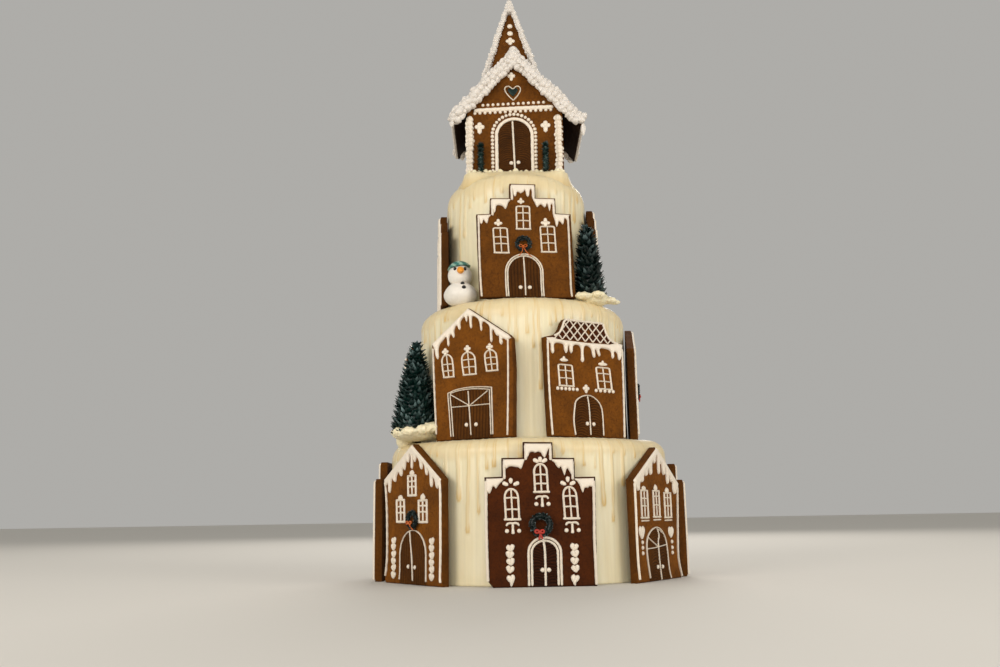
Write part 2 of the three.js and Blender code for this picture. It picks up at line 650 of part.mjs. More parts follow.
// The four leaning panels of the steeple, astride the ridge, with ropes on the front and back ones
function addSteeple() {
  const { x: centreX, y, tip, slope, wall, rope: ropeRadius, crown, finial } = STEEPLE;
  const roofCut = roofSpace();
  const above = box(60, 60, 60, centreX, y, tip - crown + 30);
  const hollow = pyramid(tip - wall / slope, STEEPLE.depth, slope);
  const shell = pyramid(tip, STEEPLE.depth, slope).subtract(hollow).subtract(roofCut).subtract(above);
  const edges = (end, grow) => [-1, 1].map((side) => {
    const point = (down) => {
      const out = down * slope;
      return new THREE.Vector3(centreX + side * out, y + end * out, tip - down);
    };
    return rope(point(99), point(crown + 2.5), ropeRadius, { grow, plain: true });
  });
  const sector = (turn) => {
    const inset = GAP * 1.3;
    const wedge = shapeOf([[inset, 0], [80, inset - 80], [80, 80 - inset]]);
    return solid(extruded(wedge, tip - 140, tip).rotateZ(turn).translate(centreX, y, 0));
  };
  const ropes = { front: edges(-1, 0), back: edges(1, 0) };
  const cuts = fuse([...edges(-1, 1.7 * GAP), ...edges(1, 1.7 * GAP)]);
  const faces = { right: 0, back: Math.PI / 2, left: Math.PI, front: -Math.PI / 2 };
  for (const [side, turn] of Object.entries(faces)) {
    let panel = shell.intersect(sector(turn));
    if (ropes[side]) {
      const outwards = side === "front" ? -1 : 1;
      const flower = (down) => ball(centreX, y + outwards * down * slope, tip - down, 2.6, 1, 6);
      const trimmed = ropes[side].map((piece) => piece.subtract(roofCut).subtract(above));
      panel = fuse([panel, ...trimmed, ...[24, 35.5, 48].map(flower)]);
    } else panel = panel.subtract(cuts);
    addNode(`steeple_${side}`, largestOf(panel), "biscuit");
  }
  const low = GAP - crown;
  const bell = [[7.4, low], [8.4, low + 3], [5, -crown * 0.4], [2.6, finial * 0.5]];
  const icing = turned([[0, low], ...bell, [0, finial]], 8);
  addNode("steeple_finial", solid(icing.translate(centreX, y, tip)), "white");
}

function addChurch() {
  const { halfWidth, depth, centreX } = CHURCH;
  addNode("church_front_wall", frontWall(), "biscuit", wallFrame(0, depth / 2 - WALL, churchBase, centreX));
  addNode("church_back_wall", backWall(), "biscuit", wallFrame(180, depth / 2 - WALL, churchBase, centreX));
  addNode("church_left_wall", sideWall(), "biscuit", wallFrame(-90, halfWidth - WALL, churchBase, centreX));
  addNode("church_right_wall", sideWall(), "biscuit", wallFrame(90, halfWidth - WALL, churchBase, centreX));
  addNode("church_roof_left", roofPanel(-1), "biscuit");
  addNode("church_roof_right", roofPanel(1), "biscuit");
  addSteeple();
  [["left", -33.5], ["right", 32]].forEach(([side, x]) => {
    const shrub = turned([[0, 0], [3.4, 1], [3.8, 9], [2.8, 11], [3.5, 18], [2.4, 20], [3, 26], [0, 30]], 6);
    const matrix = wallFrame(0, depth / 2 + 3.8 + PIPE + GAP, churchBase + ICING_BED.height, centreX + x);
    addNode(`topiary_${side}`, solid(shrub.rotateX(-Math.PI / 2)), "green", matrix);
  });
}

// A fir of stacked star-shaped skirts, leaning sideways by a share of its height. Its radius goes down to a
// share of itself at the top.
function fir(x, y, base, radius, height, lean, blunt, seed) {
  const random = seeded(seed);
  const skirts = 6;
  const spikes = 8;
  const pieces = [];
  for (let i = 0; i < skirts; i++) {
    const share = i / skirts;
    const spread = radius * (1 - (1 - blunt) * share);
    const star = Array.from({ length: spikes * 2 }, (_, k) => {
      const angle = (k * Math.PI) / spikes + share * 7;
      const out = spread * (k % 2 ? 0.84 : 0.96 + 0.08 * random());
      return [out * Math.cos(angle), out * Math.sin(angle)];
    });
    const low = share * height * 0.98 - (i ? 1.5 : 0);
    const rise = Math.min(height - low, height * (0.55 - share * 0.3));
    pieces.push(starCone(star, x + lean * low, y, base + low, rise));
  }
  return fuse(pieces);
}

function starCone(star, x, y, low, rise) {
  const corners = star.map(([u, v]) => [x + u, y + v, low]);
  const tip = [x, y, low + rise];
  const foot = [x, y, low];
  const faces = corners.flatMap((corner, i) => {
    const next = corners[(i + 1) % corners.length];
    return [corner, next, tip, next, corner, foot];
  });
  const points = new THREE.Float32BufferAttribute(faces.flat(), 3);
  return solid(new THREE.BufferGeometry().setAttribute("position", points));
}

function ball(x, y, z, radius, squash = 1, sides = 10) {
  const geometry = new THREE.SphereGeometry(radius, sides, sides > 8 ? 6 : 4);
  return solid(geometry.rotateX(Math.PI / 2).scale(1, 1, squash).translate(x, y, z));
}

// Snowman of three fondant pieces, pressed against the top tier
function addSnowman() {
  const [x, y] = [-65, -65];
  const floor = topOf(TIERS.middle) + GLAZE;
  const neck = floor + 22;
  const spaces = [tierSpace(TIERS.middle, GLAZE + GAP), tierSpace(TIERS.top, GLAZE + GAP)];
  const above = (z) => box(60, 60, 60, x, y, z + 30);
  const below = (z) => box(60, 60, 60, x, y, z - 30);
  const buttons = [6, 12.5].map((z) => {
    const out = Math.sqrt(16.4 ** 2 - (z - 1) ** 2 * 1.2);
    return ball(x - 1, y - out, floor + 11 + z * 0.8, 1.6, 1, 6);
  });
  const body = fuse([ball(x, y, floor + 11, 16.2, 0.86, 14), ...buttons]);
  const seated = spaces.reduce((left, space) => left.subtract(space), body);
  addNode("snowman_body", seated.subtract(above(neck)), "white");
  const headAt = neck + 8.2;
  const eyes = [-4, 5.6].map((side) => ball(x + side, y - 8.6, headAt + 5.6, 1.5, 1, 6));
  const carrot = new THREE.ConeGeometry(3, 9, 6).rotateX(Math.PI);
  const nose = solid(carrot.translate(x + 1.2, y - 12.4, headAt + 4.6));
  const head = fuse([ball(x, y, headAt, 11.8, 0.95, 12), ...eyes, nose]);
  const brim = headAt + 7.6;
  addNode("snowman_head", head.subtract(below(neck + GAP)).subtract(above(brim)), "white");
  const hat = ball(x, y, headAt + 2.6, 12.6, 0.95, 12).subtract(below(brim + GAP));
  addNode("snowman_hat", largestOf(hat), "green");
}

// Snow banks that carry the two firs over the rounded shoulders
function addTrees() {
  const stands = [
    {
      side: "left", x: -107, y: -62, lift: 7.5, spread: 25,
      radius: 22.5, height: 91, lean: 0.04, blunt: 0.28,
      heaps: [[-92, -80, 4, 8], [-124, -40, -10, 11], [-127, -33, -20, 10]],
    },
    {
      side: "right", x: 60.5, y: -62, lift: 4.5, spread: 19,
      radius: 15.5, height: 74, lean: -0.03, blunt: 0.2,
      heaps: [[79, -60, -1, 6.5], [52, -76, 0, 6]],
    },
  ];
  for (const { side, x, y, radius, height, lean, blunt, lift, spread, heaps } of stands) {
    const [under, upper] = side === "left" ? [TIERS.bottom, TIERS.middle] : [TIERS.middle, TIERS.top];
    const level = topOf(under) + GLAZE + lift;
    const random = seeded(side.length * 7);
    const lumps = Array.from({ length: 4 }, (_, i) => {
      const angle = (i * 2 * Math.PI) / 4 + 0.5;
      const out = spread * (0.52 + 0.12 * random());
      const lump = spread * (0.46 + 0.12 * random());
      return ball(x + out * Math.cos(angle), y + out * Math.sin(angle), level - 3, lump, 0.55, 6);
    });
    const bed = ball(x, y, level - 4, spread * 0.85, 0.38, 10);
    const neighbours = [under, upper].map((neighbour) => tierSpace(neighbour, GLAZE + GAP));
    const spaces = [...neighbours, ...HOUSES.map(houseSpace)];
    const plug = new THREE.CylinderGeometry(radius + 1, radius + 1, 40, 16).rotateX(Math.PI / 2);
    const seat = solid(plug.translate(x, y, level + 20 - GAP));
    const clear = (made) => spaces.reduce((left, space) => left.subtract(space), made);
    const heaped = heaps.map(([across, back, up, size]) => ball(across, back, level + up, size, 0.8, 6));
    const bank = clear(fuse([bed, ...lumps, ...heaped]).subtract(seat));
    addNode(`snow_bank_${side}`, largestOf(bank), "ivory");
    const tree = fir(x, y, level, radius, height, lean, blunt, 11 + Math.round(radius));
    addNode(`fir_${side}`, largestOf(clear(tree)), "green");
  }
}

for (const name of Object.keys(TIERS)) addNode(`tier_${name}`, tier(name), "ivory");
addHouses();
addChurch();
addSnowman();
addTrees();

export default root;
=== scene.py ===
"""A tiered Christmas cake: poured ivory icing, piped gingerbread houses and a gingerbread church.

Sizes in the code are millimetres in the cake's own frame, and turn to metres where a mesh is made.
Shapes are gathered as closed forms in a Moulding, which becomes one piece. A house or a wall is made
flat, with x along it, y up and z outwards, and then stood in its place."""

import math
import random

import bpy
import numpy as np
from mathutils import Matrix, Vector, geometry, noise


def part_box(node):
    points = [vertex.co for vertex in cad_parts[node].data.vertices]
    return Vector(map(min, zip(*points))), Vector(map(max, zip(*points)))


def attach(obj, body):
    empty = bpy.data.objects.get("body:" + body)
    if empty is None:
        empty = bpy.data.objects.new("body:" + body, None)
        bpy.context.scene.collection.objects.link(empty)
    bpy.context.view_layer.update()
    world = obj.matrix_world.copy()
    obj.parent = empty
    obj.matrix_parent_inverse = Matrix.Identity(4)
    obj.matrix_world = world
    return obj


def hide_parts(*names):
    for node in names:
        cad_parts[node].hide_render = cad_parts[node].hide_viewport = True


bl_info = {
    "name": "Gingerbread Village Cake",
    "version": (1, 0, 0),
    "blender": (4, 5, 0),
    "location": "View3D > Sidebar > Cake",
    "description": "Dresses a tiered Christmas cake with icing, gingerbread houses and a church",
    "category": "Add Mesh",
}

MM = 0.001
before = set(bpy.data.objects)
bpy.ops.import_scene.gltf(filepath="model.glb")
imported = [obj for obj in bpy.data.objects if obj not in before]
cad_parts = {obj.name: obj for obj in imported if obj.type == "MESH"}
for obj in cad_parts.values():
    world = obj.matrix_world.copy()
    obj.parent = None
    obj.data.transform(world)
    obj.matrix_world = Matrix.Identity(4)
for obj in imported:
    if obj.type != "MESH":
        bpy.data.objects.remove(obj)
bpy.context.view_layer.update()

# Fixed sizes of the baked and iced pieces, in millimetres
GAP = 0.35
GLAZE = 0.8
BISCUIT = 7
WALL = 6
CLEAR = 0.05
STAND_OFF = GLAZE + 0.5
SHOULDERS = {"bottom": 11, "middle": 15, "top": 20}
HEIGHTS = {"bottom": 124, "middle": 131.5, "top": 134}
CHURCH = {"half": 49, "depth": 88, "eaves": 70.5, "pitch": math.radians(47), "left": 64.5, "right": 69.5}
ROOF = {"thick": 6, "front": 4}
STEEPLE = {"x": -11.4, "y": -9, "tip": 601, "slope": 0.29, "wall": 5, "cut": 7}
SNOWMAN = (-65, -65)

# The camera, in metres and degrees, and the lamps: place, size across in metres, watts and tint
CAMERA = {"place": (-0.0273, -0.909, 0.055), "lens": 32.616, "up": 11.6, "roll": 0.95}
LAMPS = {
    "left": ((-1.4, -1.7, 0.7), 1.1, 21.5, (1, 0.96, 0.91)),
    "right": ((1.5, -1.2, 0.65), 1.2, 14.5, (1, 0.96, 0.91)),
    "front": ((-0.1, -2, 0.4), 1.4, 10, (1, 0.96, 0.92)),
    "back": ((0.2, 1.7, 1.5), 1.2, 18, (1, 0.96, 0.91)),
}
LAMPS_AIM = (0, 0, 0.28)
ROOM_LIGHT = 0.52


def linear(code):
    """A hex sRGB colour as linear numbers."""
    values = [int(code[i : i + 2], 16) / 255 for i in (0, 2, 4)]
    return [v / 12.92 if v <= 0.04045 else ((v + 0.055) / 1.055) ** 2.4 for v in values]


def colour(name, description, code):
    return bpy.props.FloatVectorProperty(
        name=name, description=description, subtype="COLOR", size=3, min=0, max=1, default=linear(code)
    )


def length(name, description, millimetres):
    return bpy.props.FloatProperty(
        name=name, description=description, default=millimetres * MM, min=0, unit="LENGTH", precision=4
    )


class CakeColours(bpy.types.PropertyGroup):
    """Colours of the icings, biscuits and fondant."""

    ivory: colour("Ivory icing", "Pale coat under the poured glaze", "E7DEBE")
    glaze: colour("Glaze", "Yellower glaze where it runs thick", "D4B474")
    gingerbread: colour("Gingerbread", "Baked biscuit", "6A3D0A")
    gingerbread_dark: colour("Dark gingerbread", "Biscuit of the middle house, baked darkest", "401B01")
    royal: colour("Royal icing", "Piped lines and snow", "E3D7C5")
    fir: colour("Fir green", "Leaf-piped trees and wreaths", "07231F")
    # The pale leaf tips are painted highlights: glints of the lamps on the satin icing
    painted_glint: colour("Painted glint", "Pale tips of the piped leaves", "7E9797")
    red: colour("Red bow", "Bows on the lower wreaths", "A82816")
    orange: colour("Orange bow", "Bow on the top wreath", "C8662A")
    teal: colour("Teal beanie", "Snowman's hat", "2F6F66")


class CakeSizes(bpy.types.PropertyGroup):
    """Sizes of the piping and glaze."""

    line: length("Piped line", "Width of the main icing lines", 2.1)
    rise: length("Piping height", "How far piped icing stands out", 1.4)
    snow: length("Snow height", "How far the snow on the roofs stands out", 1.9)
    groove: length("Door groove", "Depth of the grain pressed into the doors", 0.6)
    leaf: length("Leaf", "Length of a piped fir leaf", 8)
    glaze: length("Glaze", "Thickness of the poured glaze", GLAZE)


def sizes(name):
    """A size of the piping in millimetres."""
    return getattr(bpy.context.scene.cake_sizes, name) / MM


# Materials


def add_node(tree, kind, settings=None, inputs=None):
    """Adds a node with its settings. An input that is a socket is linked, and any other is set."""
    node = tree.nodes.new(kind)
    for key, value in (settings or {}).items():
        setattr(node, key, value)
    for key, value in (inputs or {}).items():
        if isinstance(value, bpy.types.NodeSocket):
            tree.links.new(value, node.inputs[key])
        else:
            node.inputs[key].default_value = value
    return node


def start_material(name):
    made = bpy.data.materials.new(name)
    made.use_nodes = True
    made.node_tree.nodes.clear()
    return made, made.node_tree


def finish_material(tree, inputs, bump=None, scatter=None):
    """Joins a principled shader to the output.

    A bump is its height, strength and depth in millimetres. Scatter is the share of the light that
    goes in, and how many millimetres its red, green and blue travel there."""
    inputs = dict(inputs)
    if scatter:
        weight, reach = scatter
        inputs["Subsurface Weight"] = weight
        inputs["Subsurface Radius"] = [value * MM for value in reach]
        inputs["Subsurface Scale"] = 1.0
    if bump:
        height, strength, depth = bump
        relief = {"Strength": strength, "Distance": depth * MM, "Height": height}
        inputs["Normal"] = add_node(tree, "ShaderNodeBump", inputs=relief).outputs["Normal"]
    shader = add_node(tree, "ShaderNodeBsdfPrincipled", inputs=inputs)
    add_node(tree, "ShaderNodeOutputMaterial", inputs={"Surface": shader.outputs["BSDF"]})


def grain(tree, millimetres, stretch=(1, 1, 1), detail=4, roughness=0.55):
    """Noise whose features are a number of millimetres across, and longer where stretch is under 1."""
    place = add_node(tree, "ShaderNodeTexCoord").outputs["Object"]
    sized = add_node(tree, "ShaderNodeMapping", inputs={"Vector": place, "Scale": stretch})
    made = add_node(tree, "ShaderNodeTexNoise", inputs={
        "Vector": sized.outputs["Vector"], "Scale": 1 / (millimetres * MM),
        "Detail": detail, "Roughness": roughness,
    })
    return made.outputs["Fac"]


def ramp(tree, value, stops):
    """A colour ramp from positions to linear colours, or to a grey given as one number."""
    node = add_node(tree, "ShaderNodeValToRGB", inputs={"Fac": value})
    elements = node.color_ramp.elements
    while len(elements) < len(stops):
        elements.new(0.5)
    for element, (position, shade) in zip(elements, stops):
        element.position = position
        element.color = (*(shade if hasattr(shade, "__len__") else (shade,) * 3), 1)
    return node.outputs["Color"]


def scaled(shade, factor):
    return [min(1, channel * factor) for channel in shade]


def mixed(tree, kind, factor, first, second):
    """Two colours mixed by a factor, each a socket or linear numbers."""
    node = add_node(tree, "ShaderNodeMix", {"data_type": "RGBA", "blend_type": kind})
    for key, value in ((0, factor), (6, first), (7, second)):
        if isinstance(value, bpy.types.NodeSocket):
            tree.links.new(value, node.inputs[key])
        else:
            node.inputs[key].default_value = value if key == 0 else (*value, 1)
    return node.outputs[2]


def toned(tree):
    """How thick, deep or light a point is, from 0 to 1, as its mesh says; on the biscuits it carries painted
    shade, and on the leaves painted highlights.
    """
    return add_node(tree, "ShaderNodeAttribute", {"attribute_name": "tone"}).outputs["Fac"]


def poured_icing(colours):
    """White chocolate glaze poured over an ivory coat: satin, and yellower where it has run thick."""
    made, tree = start_material("poured_white_chocolate")
    # The smoother leaves upright marks about 3 mm apart, and the glaze streaks about 10 mm apart
    combed = grain(tree, 3.2, (1, 1, 0.03), 2)
    paler = ramp(tree, combed, [(0.38, colours.ivory), (0.64, scaled(colours.ivory, 0.93))])
    streaks = grain(tree, 10, (1, 1, 0.07), 3)
    body = mixed(tree, "MIX", ramp(tree, streaks, [(0.4, 0), (0.8, 0.22)]), paler, colours.glaze)
    thick = ramp(tree, toned(tree), [(0.0, 0), (0.5, 0.36), (1.0, 0.95)])
    body = mixed(tree, "MIX", thick, body, colours.glaze)
    # Soft clouds of tone about 26 mm across, and ripples of 3.5 mm that catch the light
    clouds = grain(tree, 26, (1, 1, 0.5), 2)
    shade = ramp(tree, clouds, [(0.3, 1), (0.75, (0.94, 0.91, 0.84))])
    surface = mixed(tree, "MULTIPLY", 1.0, body, shade)
    ripples = grain(tree, 3.5, (1, 1, 0.4), 2)
    inputs = {"Base Color": surface, "Roughness": 0.36, "IOR": 1.46}
    finish_material(tree, inputs, (ripples, 0.25, 0.4), (0.1, (5, 3.5, 2)))
    return made


def baked_gingerbread(name, shade):
    """Rolled and baked gingerbread: matt, close crumb, darker specks of spice and paler flour."""
    made, tree = start_material(name)
    # The crumb is about 0.8 mm across, and is drawn three times as coarse so that it shows
    crumb = grain(tree, 3 * 0.8, detail=6, roughness=0.75)
    # The oven browns it in patches about 22 mm across
    patches = grain(tree, 22, detail=2)
    warm = ramp(tree, patches, [(0.3, scaled(shade, 0.72)), (0.72, scaled(shade, 1.22))])
    specks = ramp(tree, crumb, [(0.3, (0.5, 0.43, 0.4)), (0.47, 0.97), (0.7, (1.28, 1.26, 1.2))])
    surface = mixed(tree, "MULTIPLY", 1.0, warm, specks)
    # The tone darkens the biscuit with painted shade on its undersides, sides and door grooves, and along its
    # edges with browning and painted shade
    pressed = mixed(tree, "MIX", toned(tree), surface, scaled(shade, 0.12))
    inputs = {"Base Color": pressed, "Roughness": 0.8, "Specular IOR Level": 0.12}
    finish_material(tree, inputs, (crumb, 0.7, 0.6))
    return made


def piped_royal_icing(name, shade):
    """Royal icing piped and air-dried: smooth, warm white, with a low sheen."""
    made, tree = start_material(name)
    # It dries a little darker in places about 9 mm across, with a skin wrinkled at 0.9 mm
    cast = grain(tree, 9, detail=2)
    surface = ramp(tree, cast, [(0.3, scaled(shade, 0.95)), (0.7, shade)])
    skin = grain(tree, 0.9, detail=2)
    inputs = {"Base Color": surface, "Roughness": 0.42, "IOR": 1.48}
    finish_material(tree, inputs, (skin, 0.15, 0.2), (0.1, (2, 1.6, 1.2)))
    return made


def leaf_piped_icing(name, colours, share):
    """Dark green buttercream piped with a leaf tube: satin, with painted highlights as pale glints on its
    tips.
    """
    made, tree = start_material(name)
    # The green is mixed unevenly, in patches about 5 mm across
    patches = grain(tree, 5, detail=3)
    greens = [(0.35, scaled(colours.fir, 0.5 * share)), (0.7, scaled(colours.fir, 1.3 * share))]
    # The tone mixes in the painted highlights, pale glints on the leaf tips
    surface = mixed(tree, "MIX", toned(tree), ramp(tree, patches, greens), colours.painted_glint)
    inputs = {"Base Color": surface, "Roughness": 0.36, "Specular IOR Level": 0.28}
    finish_material(tree, inputs, (patches, 0.2, 0.3))
    return made


def rolled_fondant(name, shade, second=None):
    """Sugar paste rolled by hand: soft and matt, striped where a second colour is kneaded on."""
    made, tree = start_material(name)
    # Fingers leave shallow marks about 4 mm across
    marks = grain(tree, 4, detail=3)
    surface = ramp(tree, marks, [(0.3, scaled(shade, 0.92)), (0.7, shade)])
    if second is not None:
        surface = mixed(tree, "MIX", toned(tree), surface, second)
    inputs = {"Base Color": surface, "Roughness": 0.5}
    finish_material(tree, inputs, (marks, 0.12, 0.2), (0.06, (2, 1.5, 1)))
    return made


MATERIALS = {}


def material(name):
    """A finish by name, made when it is first asked for."""
    if name in MATERIALS:
        return MATERIALS[name]
    colours = bpy.context.scene.cake_colours
    makers = {
        "poured": (poured_icing, colours),
        "biscuit": (baked_gingerbread, "baked_gingerbread", colours.gingerbread),
        # A darker copy of the gingerbread for the church and the top tier's houses: painted shade, for the
        # top of the cake that the lamps light brighter
        "church_biscuit": (baked_gingerbread, "well_baked_gingerbread", scaled(colours.gingerbread, 0.76)),
        "dark_biscuit": (baked_gingerbread, "dark_gingerbread", colours.gingerbread_dark),
        "royal": (piped_royal_icing, "piped_royal_icing", colours.royal),
        # A cooler, greyer copy of the royal icing for the church and steeple: painted light, the cool tint of
        # the light falling on them
        "snow": (piped_royal_icing, "piped_snow_icing", linear("DAD3CA")),
        "leaf": (leaf_piped_icing, "leaf_piped_buttercream", colours, 1.0),
        # A darker copy of the leaf green, for the wreaths and the right fir; on the right fir it is painted
        # shade
        "dark_leaf": (leaf_piped_icing, "dark_leaf_piped_buttercream", colours, 0.4),
        "red": (rolled_fondant, "red_fondant", colours.red),
        "orange": (rolled_fondant, "orange_fondant", colours.orange),
        "carrot": (rolled_fondant, "carrot_fondant", linear("EE9A2C")),
        "white_fondant": (rolled_fondant, "white_fondant", linear("E4DED3")),
        "black_fondant": (rolled_fondant, "black_fondant", linear("17130F")),
        "beanie": (rolled_fondant, "striped_fondant", colours.teal, linear("8FB3A0")),
    }
    maker, *options = makers[name]
    MATERIALS[name] = maker(*options)
    return MATERIALS[name]


# Closed forms, gathered into meshes


class Moulding:
    """Closed forms in millimetres that become one mesh. Each point has a tone for its material."""

    def __init__(self):
        self.points, self.tones, self.faces, self.finishes = [], [], [], []
        self.count = 0

    def add(self, points, face_groups, tone=0.0, finish=0):
        """Adds one closed form. Its tone is one number or one for each point."""
        points = np.asarray(points, float)
        self.points.append(points)
        self.tones.append(np.broadcast_to(np.asarray(tone, float), len(points)))
        for group in face_groups:
            group = (np.asarray(group) + self.count).tolist()
            self.faces.extend(group)
            self.finishes.extend([finish] * len(group))
        self.count += len(points)

    def make(self, name, finishes, slot, node, place=None):
        """The gathered forms as a piece that stands for a CAD node."""
        points = np.concatenate(self.points)
        if place is not None:
            turn = np.array(place)
            points = points @ turn[:3, :3].T + turn[:3, 3]
        mesh = bpy.data.meshes.new(name)
        mesh.from_pydata((points * MM).tolist(), [], self.faces)
        mesh.attributes.new("tone", "FLOAT", "POINT").data.foreach_set("value", np.concatenate(self.tones))
        for finish in finishes:
            mesh.materials.append(material(finish))
        mesh.polygons.foreach_set("material_index", self.finishes)
        mesh.shade_smooth()
        mesh.set_sharp_from_angle(angle=math.radians(55))
        place_piece(name, mesh, node)


def add_object(name, data):
    """A new object in the scene."""
    made = bpy.data.objects.new(name, data)
    bpy.context.scene.collection.objects.link(made)
    return made


def place_piece(name, mesh, node):
    """A mesh as a piece that rides with the cake and stands for its CAD node."""
    piece = add_object(name, mesh)
    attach(piece, "root")
    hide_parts(node)


def ring_angles(count):
    """Even turns round a circle."""
    return np.arange(count) * 2 * math.pi / count


def flipped(groups):
    """Faces turned over, so that they look the other way."""
    return [group[:, ::-1] for group in groups]


def grid_faces(rows, columns):
    """Quads of a grid of points that closes round on itself, each row joined to the next."""
    i, j = np.meshgrid(np.arange(rows - 1), np.arange(columns), indexing="ij")
    low, high = i.ravel() * columns, (i.ravel() + 1) * columns
    j, after = j.ravel(), (j.ravel() + 1) % columns
    return np.stack([low + j, low + after, high + after, high + j], 1)


def lathe_faces(rows, columns):
    """A grid closed round on itself whose two ends close on one point each, placed after the grid."""
    first, last = rows * columns, rows * columns + 1
    j = np.arange(columns)
    after = (j + 1) % columns
    top = np.stack([np.full(columns, first), after, j], 1)
    low = (rows - 1) * columns
    foot = np.stack([np.full(columns, last), low + j, low + after], 1)
    return [grid_faces(rows, columns), top, foot]


def spaced(outline, step):
    """Points at even steps along a closed outline, with its corners kept."""
    points = np.asarray(outline, float)
    made = []
    for start, end in zip(points, np.roll(points, -1, 0)):
        count = max(1, round(float(np.hypot(*(end - start))) / step))
        made.extend(start + (end - start) * i / count for i in range(count))
    return np.array(made)


def inset(points, distance):
    """The inner corners of a path, moved to its left by a distance."""
    points = np.asarray(points, float)
    along = np.diff(points, axis=0)
    along /= np.hypot(*along.T)[:, None]
    side = np.stack([-along[:, 1], along[:, 0]], 1)
    before, after = side[:-1], side[1:]
    return points[1:-1] + distance * (before + after) / (1 + (before * after).sum(1))[:, None]


def curved(points, step=0.8):
    """A smooth path through points, at about even steps."""
    points = np.asarray(points, float)
    ends = np.vstack([2 * points[0] - points[1], points, 2 * points[-1] - points[-2]])
    made = []
    for a, b, c, d in zip(ends, ends[1:], ends[2:], ends[3:]):
        bend, twist = 2 * a - 5 * b + 4 * c - d, 3 * b - a - 3 * c + d
        for t in np.linspace(0, 1, max(2, int(np.linalg.norm(c - b) / step)), endpoint=False):
            made.append(0.5 * (2 * b + (c - a) * t + bend * t**2 + twist * t**3))
    return np.array([*made, points[-1]])


def signed_area(points):
    x, y = points.T
    return 0.5 * float(np.sum(x * np.roll(y, -1) - np.roll(x, -1) * y))


def is_inside(points, border):
    """Which points lie inside a closed border."""
    x, y = points[:, None, 0], points[:, None, 1]
    x0, y0 = border.T
    x1, y1 = np.roll(border, -1, 0).T
    spans = (y0 > y) != (y1 > y)
    slope = (x1 - x0) / np.where(y1 == y0, 1e-9, y1 - y0)
    return (spans & (x < x0 + slope * (y - y0))).sum(1) % 2 == 1


def distance_to(points, border):
    """Each point's distance to a closed border."""
    start = border[None]
    along = np.roll(border, -1, 0)[None] - start
    share = ((points[:, None] - start) * along).sum(2) / np.maximum((along**2).sum(2), 1e-9)
    nearest = start + along * np.clip(share, 0, 1)[..., None]
    return np.sqrt(((points[:, None] - nearest) ** 2).sum(2).min(1))


def filled(border, inner):
    """A border filled with triangles through inner points, and where the border's points went."""
    points = [Vector(point) for point in (*border, *inner)]
    loop = list(range(len(border)))
    found = geometry.delaunay_2d_cdt(points, [], [loop], 1, 1e-5, True)
    where = {old: new for new, olds in enumerate(found[3]) for old in olds}
    made = np.array([tuple(point) for point in found[0]])
    triangles = np.array(found[2])
    triangles = triangles[is_inside(made[triangles].mean(1), border)]
    a, b, c = (made[triangles[:, k]] for k in range(3))
    if ((b - a)[:, 0] * (c - a)[:, 1] - (b - a)[:, 1] * (c - a)[:, 0]).sum() < 0:
        triangles = triangles[:, ::-1]
    return made, triangles, [where[i] for i in loop]


def pad(
    form, outline, low, foot, high, edge, spacing, relief=None, tone=None, step=None, finish=0, painted_under_shade=0.0
):
    """A closed pad on an outline: its sides stand from low to foot, and a rounded edge goes on to high."""
    border = spaced(outline, step or spacing)
    if signed_area(border) < 0:
        border = border[::-1]
    along = np.roll(border, -1, 0) - np.roll(border, 1, 0)
    along /= np.maximum(np.hypot(*along.T), 1e-9)[:, None]
    inward = np.stack([-along[:, 1], along[:, 0]], 1)
    inner = []
    for share in (0.2, 0.55, 1.0):
        ring = border + inward * edge * share
        inner.append(ring[is_inside(ring, border) & (distance_to(ring, border) > edge * share * 0.85)])
    (x0, y0), (x1, y1) = border.min(0), border.max(0)
    rows = np.arange(y0 + spacing / 2, y1, spacing * 0.87)
    grid = [(x, y) for k, y in enumerate(rows) for x in np.arange(x0 + spacing * (k % 2) / 2, x1, spacing)]
    grid = np.array(grid or [(x0 - 1, y0)])
    kept = is_inside(grid, border)
    grid = grid[kept]
    if len(grid):
        grid = grid[distance_to(grid, border) > edge + spacing * 0.4]
    points, triangles, loop = filled(border, np.concatenate([*inner, grid]))
    share = np.clip(distance_to(points, border) / edge, 0, 1)
    height = foot + (high - foot) * np.sqrt(np.clip(1 - (1 - share) ** 2, 0, 1))
    if relief is not None:
        height = height + relief(points) * share
    height[loop] = foot
    flat, under, under_loop = filled(border, [])
    count = len(points)
    top = np.column_stack([points, height])
    bottom = np.column_stack([flat, np.full(len(flat), low)])
    upper, lower = np.array(loop), np.array(under_loop) + count
    sides = np.stack([lower, np.roll(lower, -1), np.roll(upper, -1), upper], 1)
    over = np.zeros(count) if tone is None else tone(points)
    # The underside takes the given tone, and the sides darken towards it: painted shade
    tones = np.concatenate([over, np.full(len(flat), painted_under_shade)])
    form.add(np.vstack([top, bottom]), [triangles, under[:, ::-1] + count, sides], tones, finish)


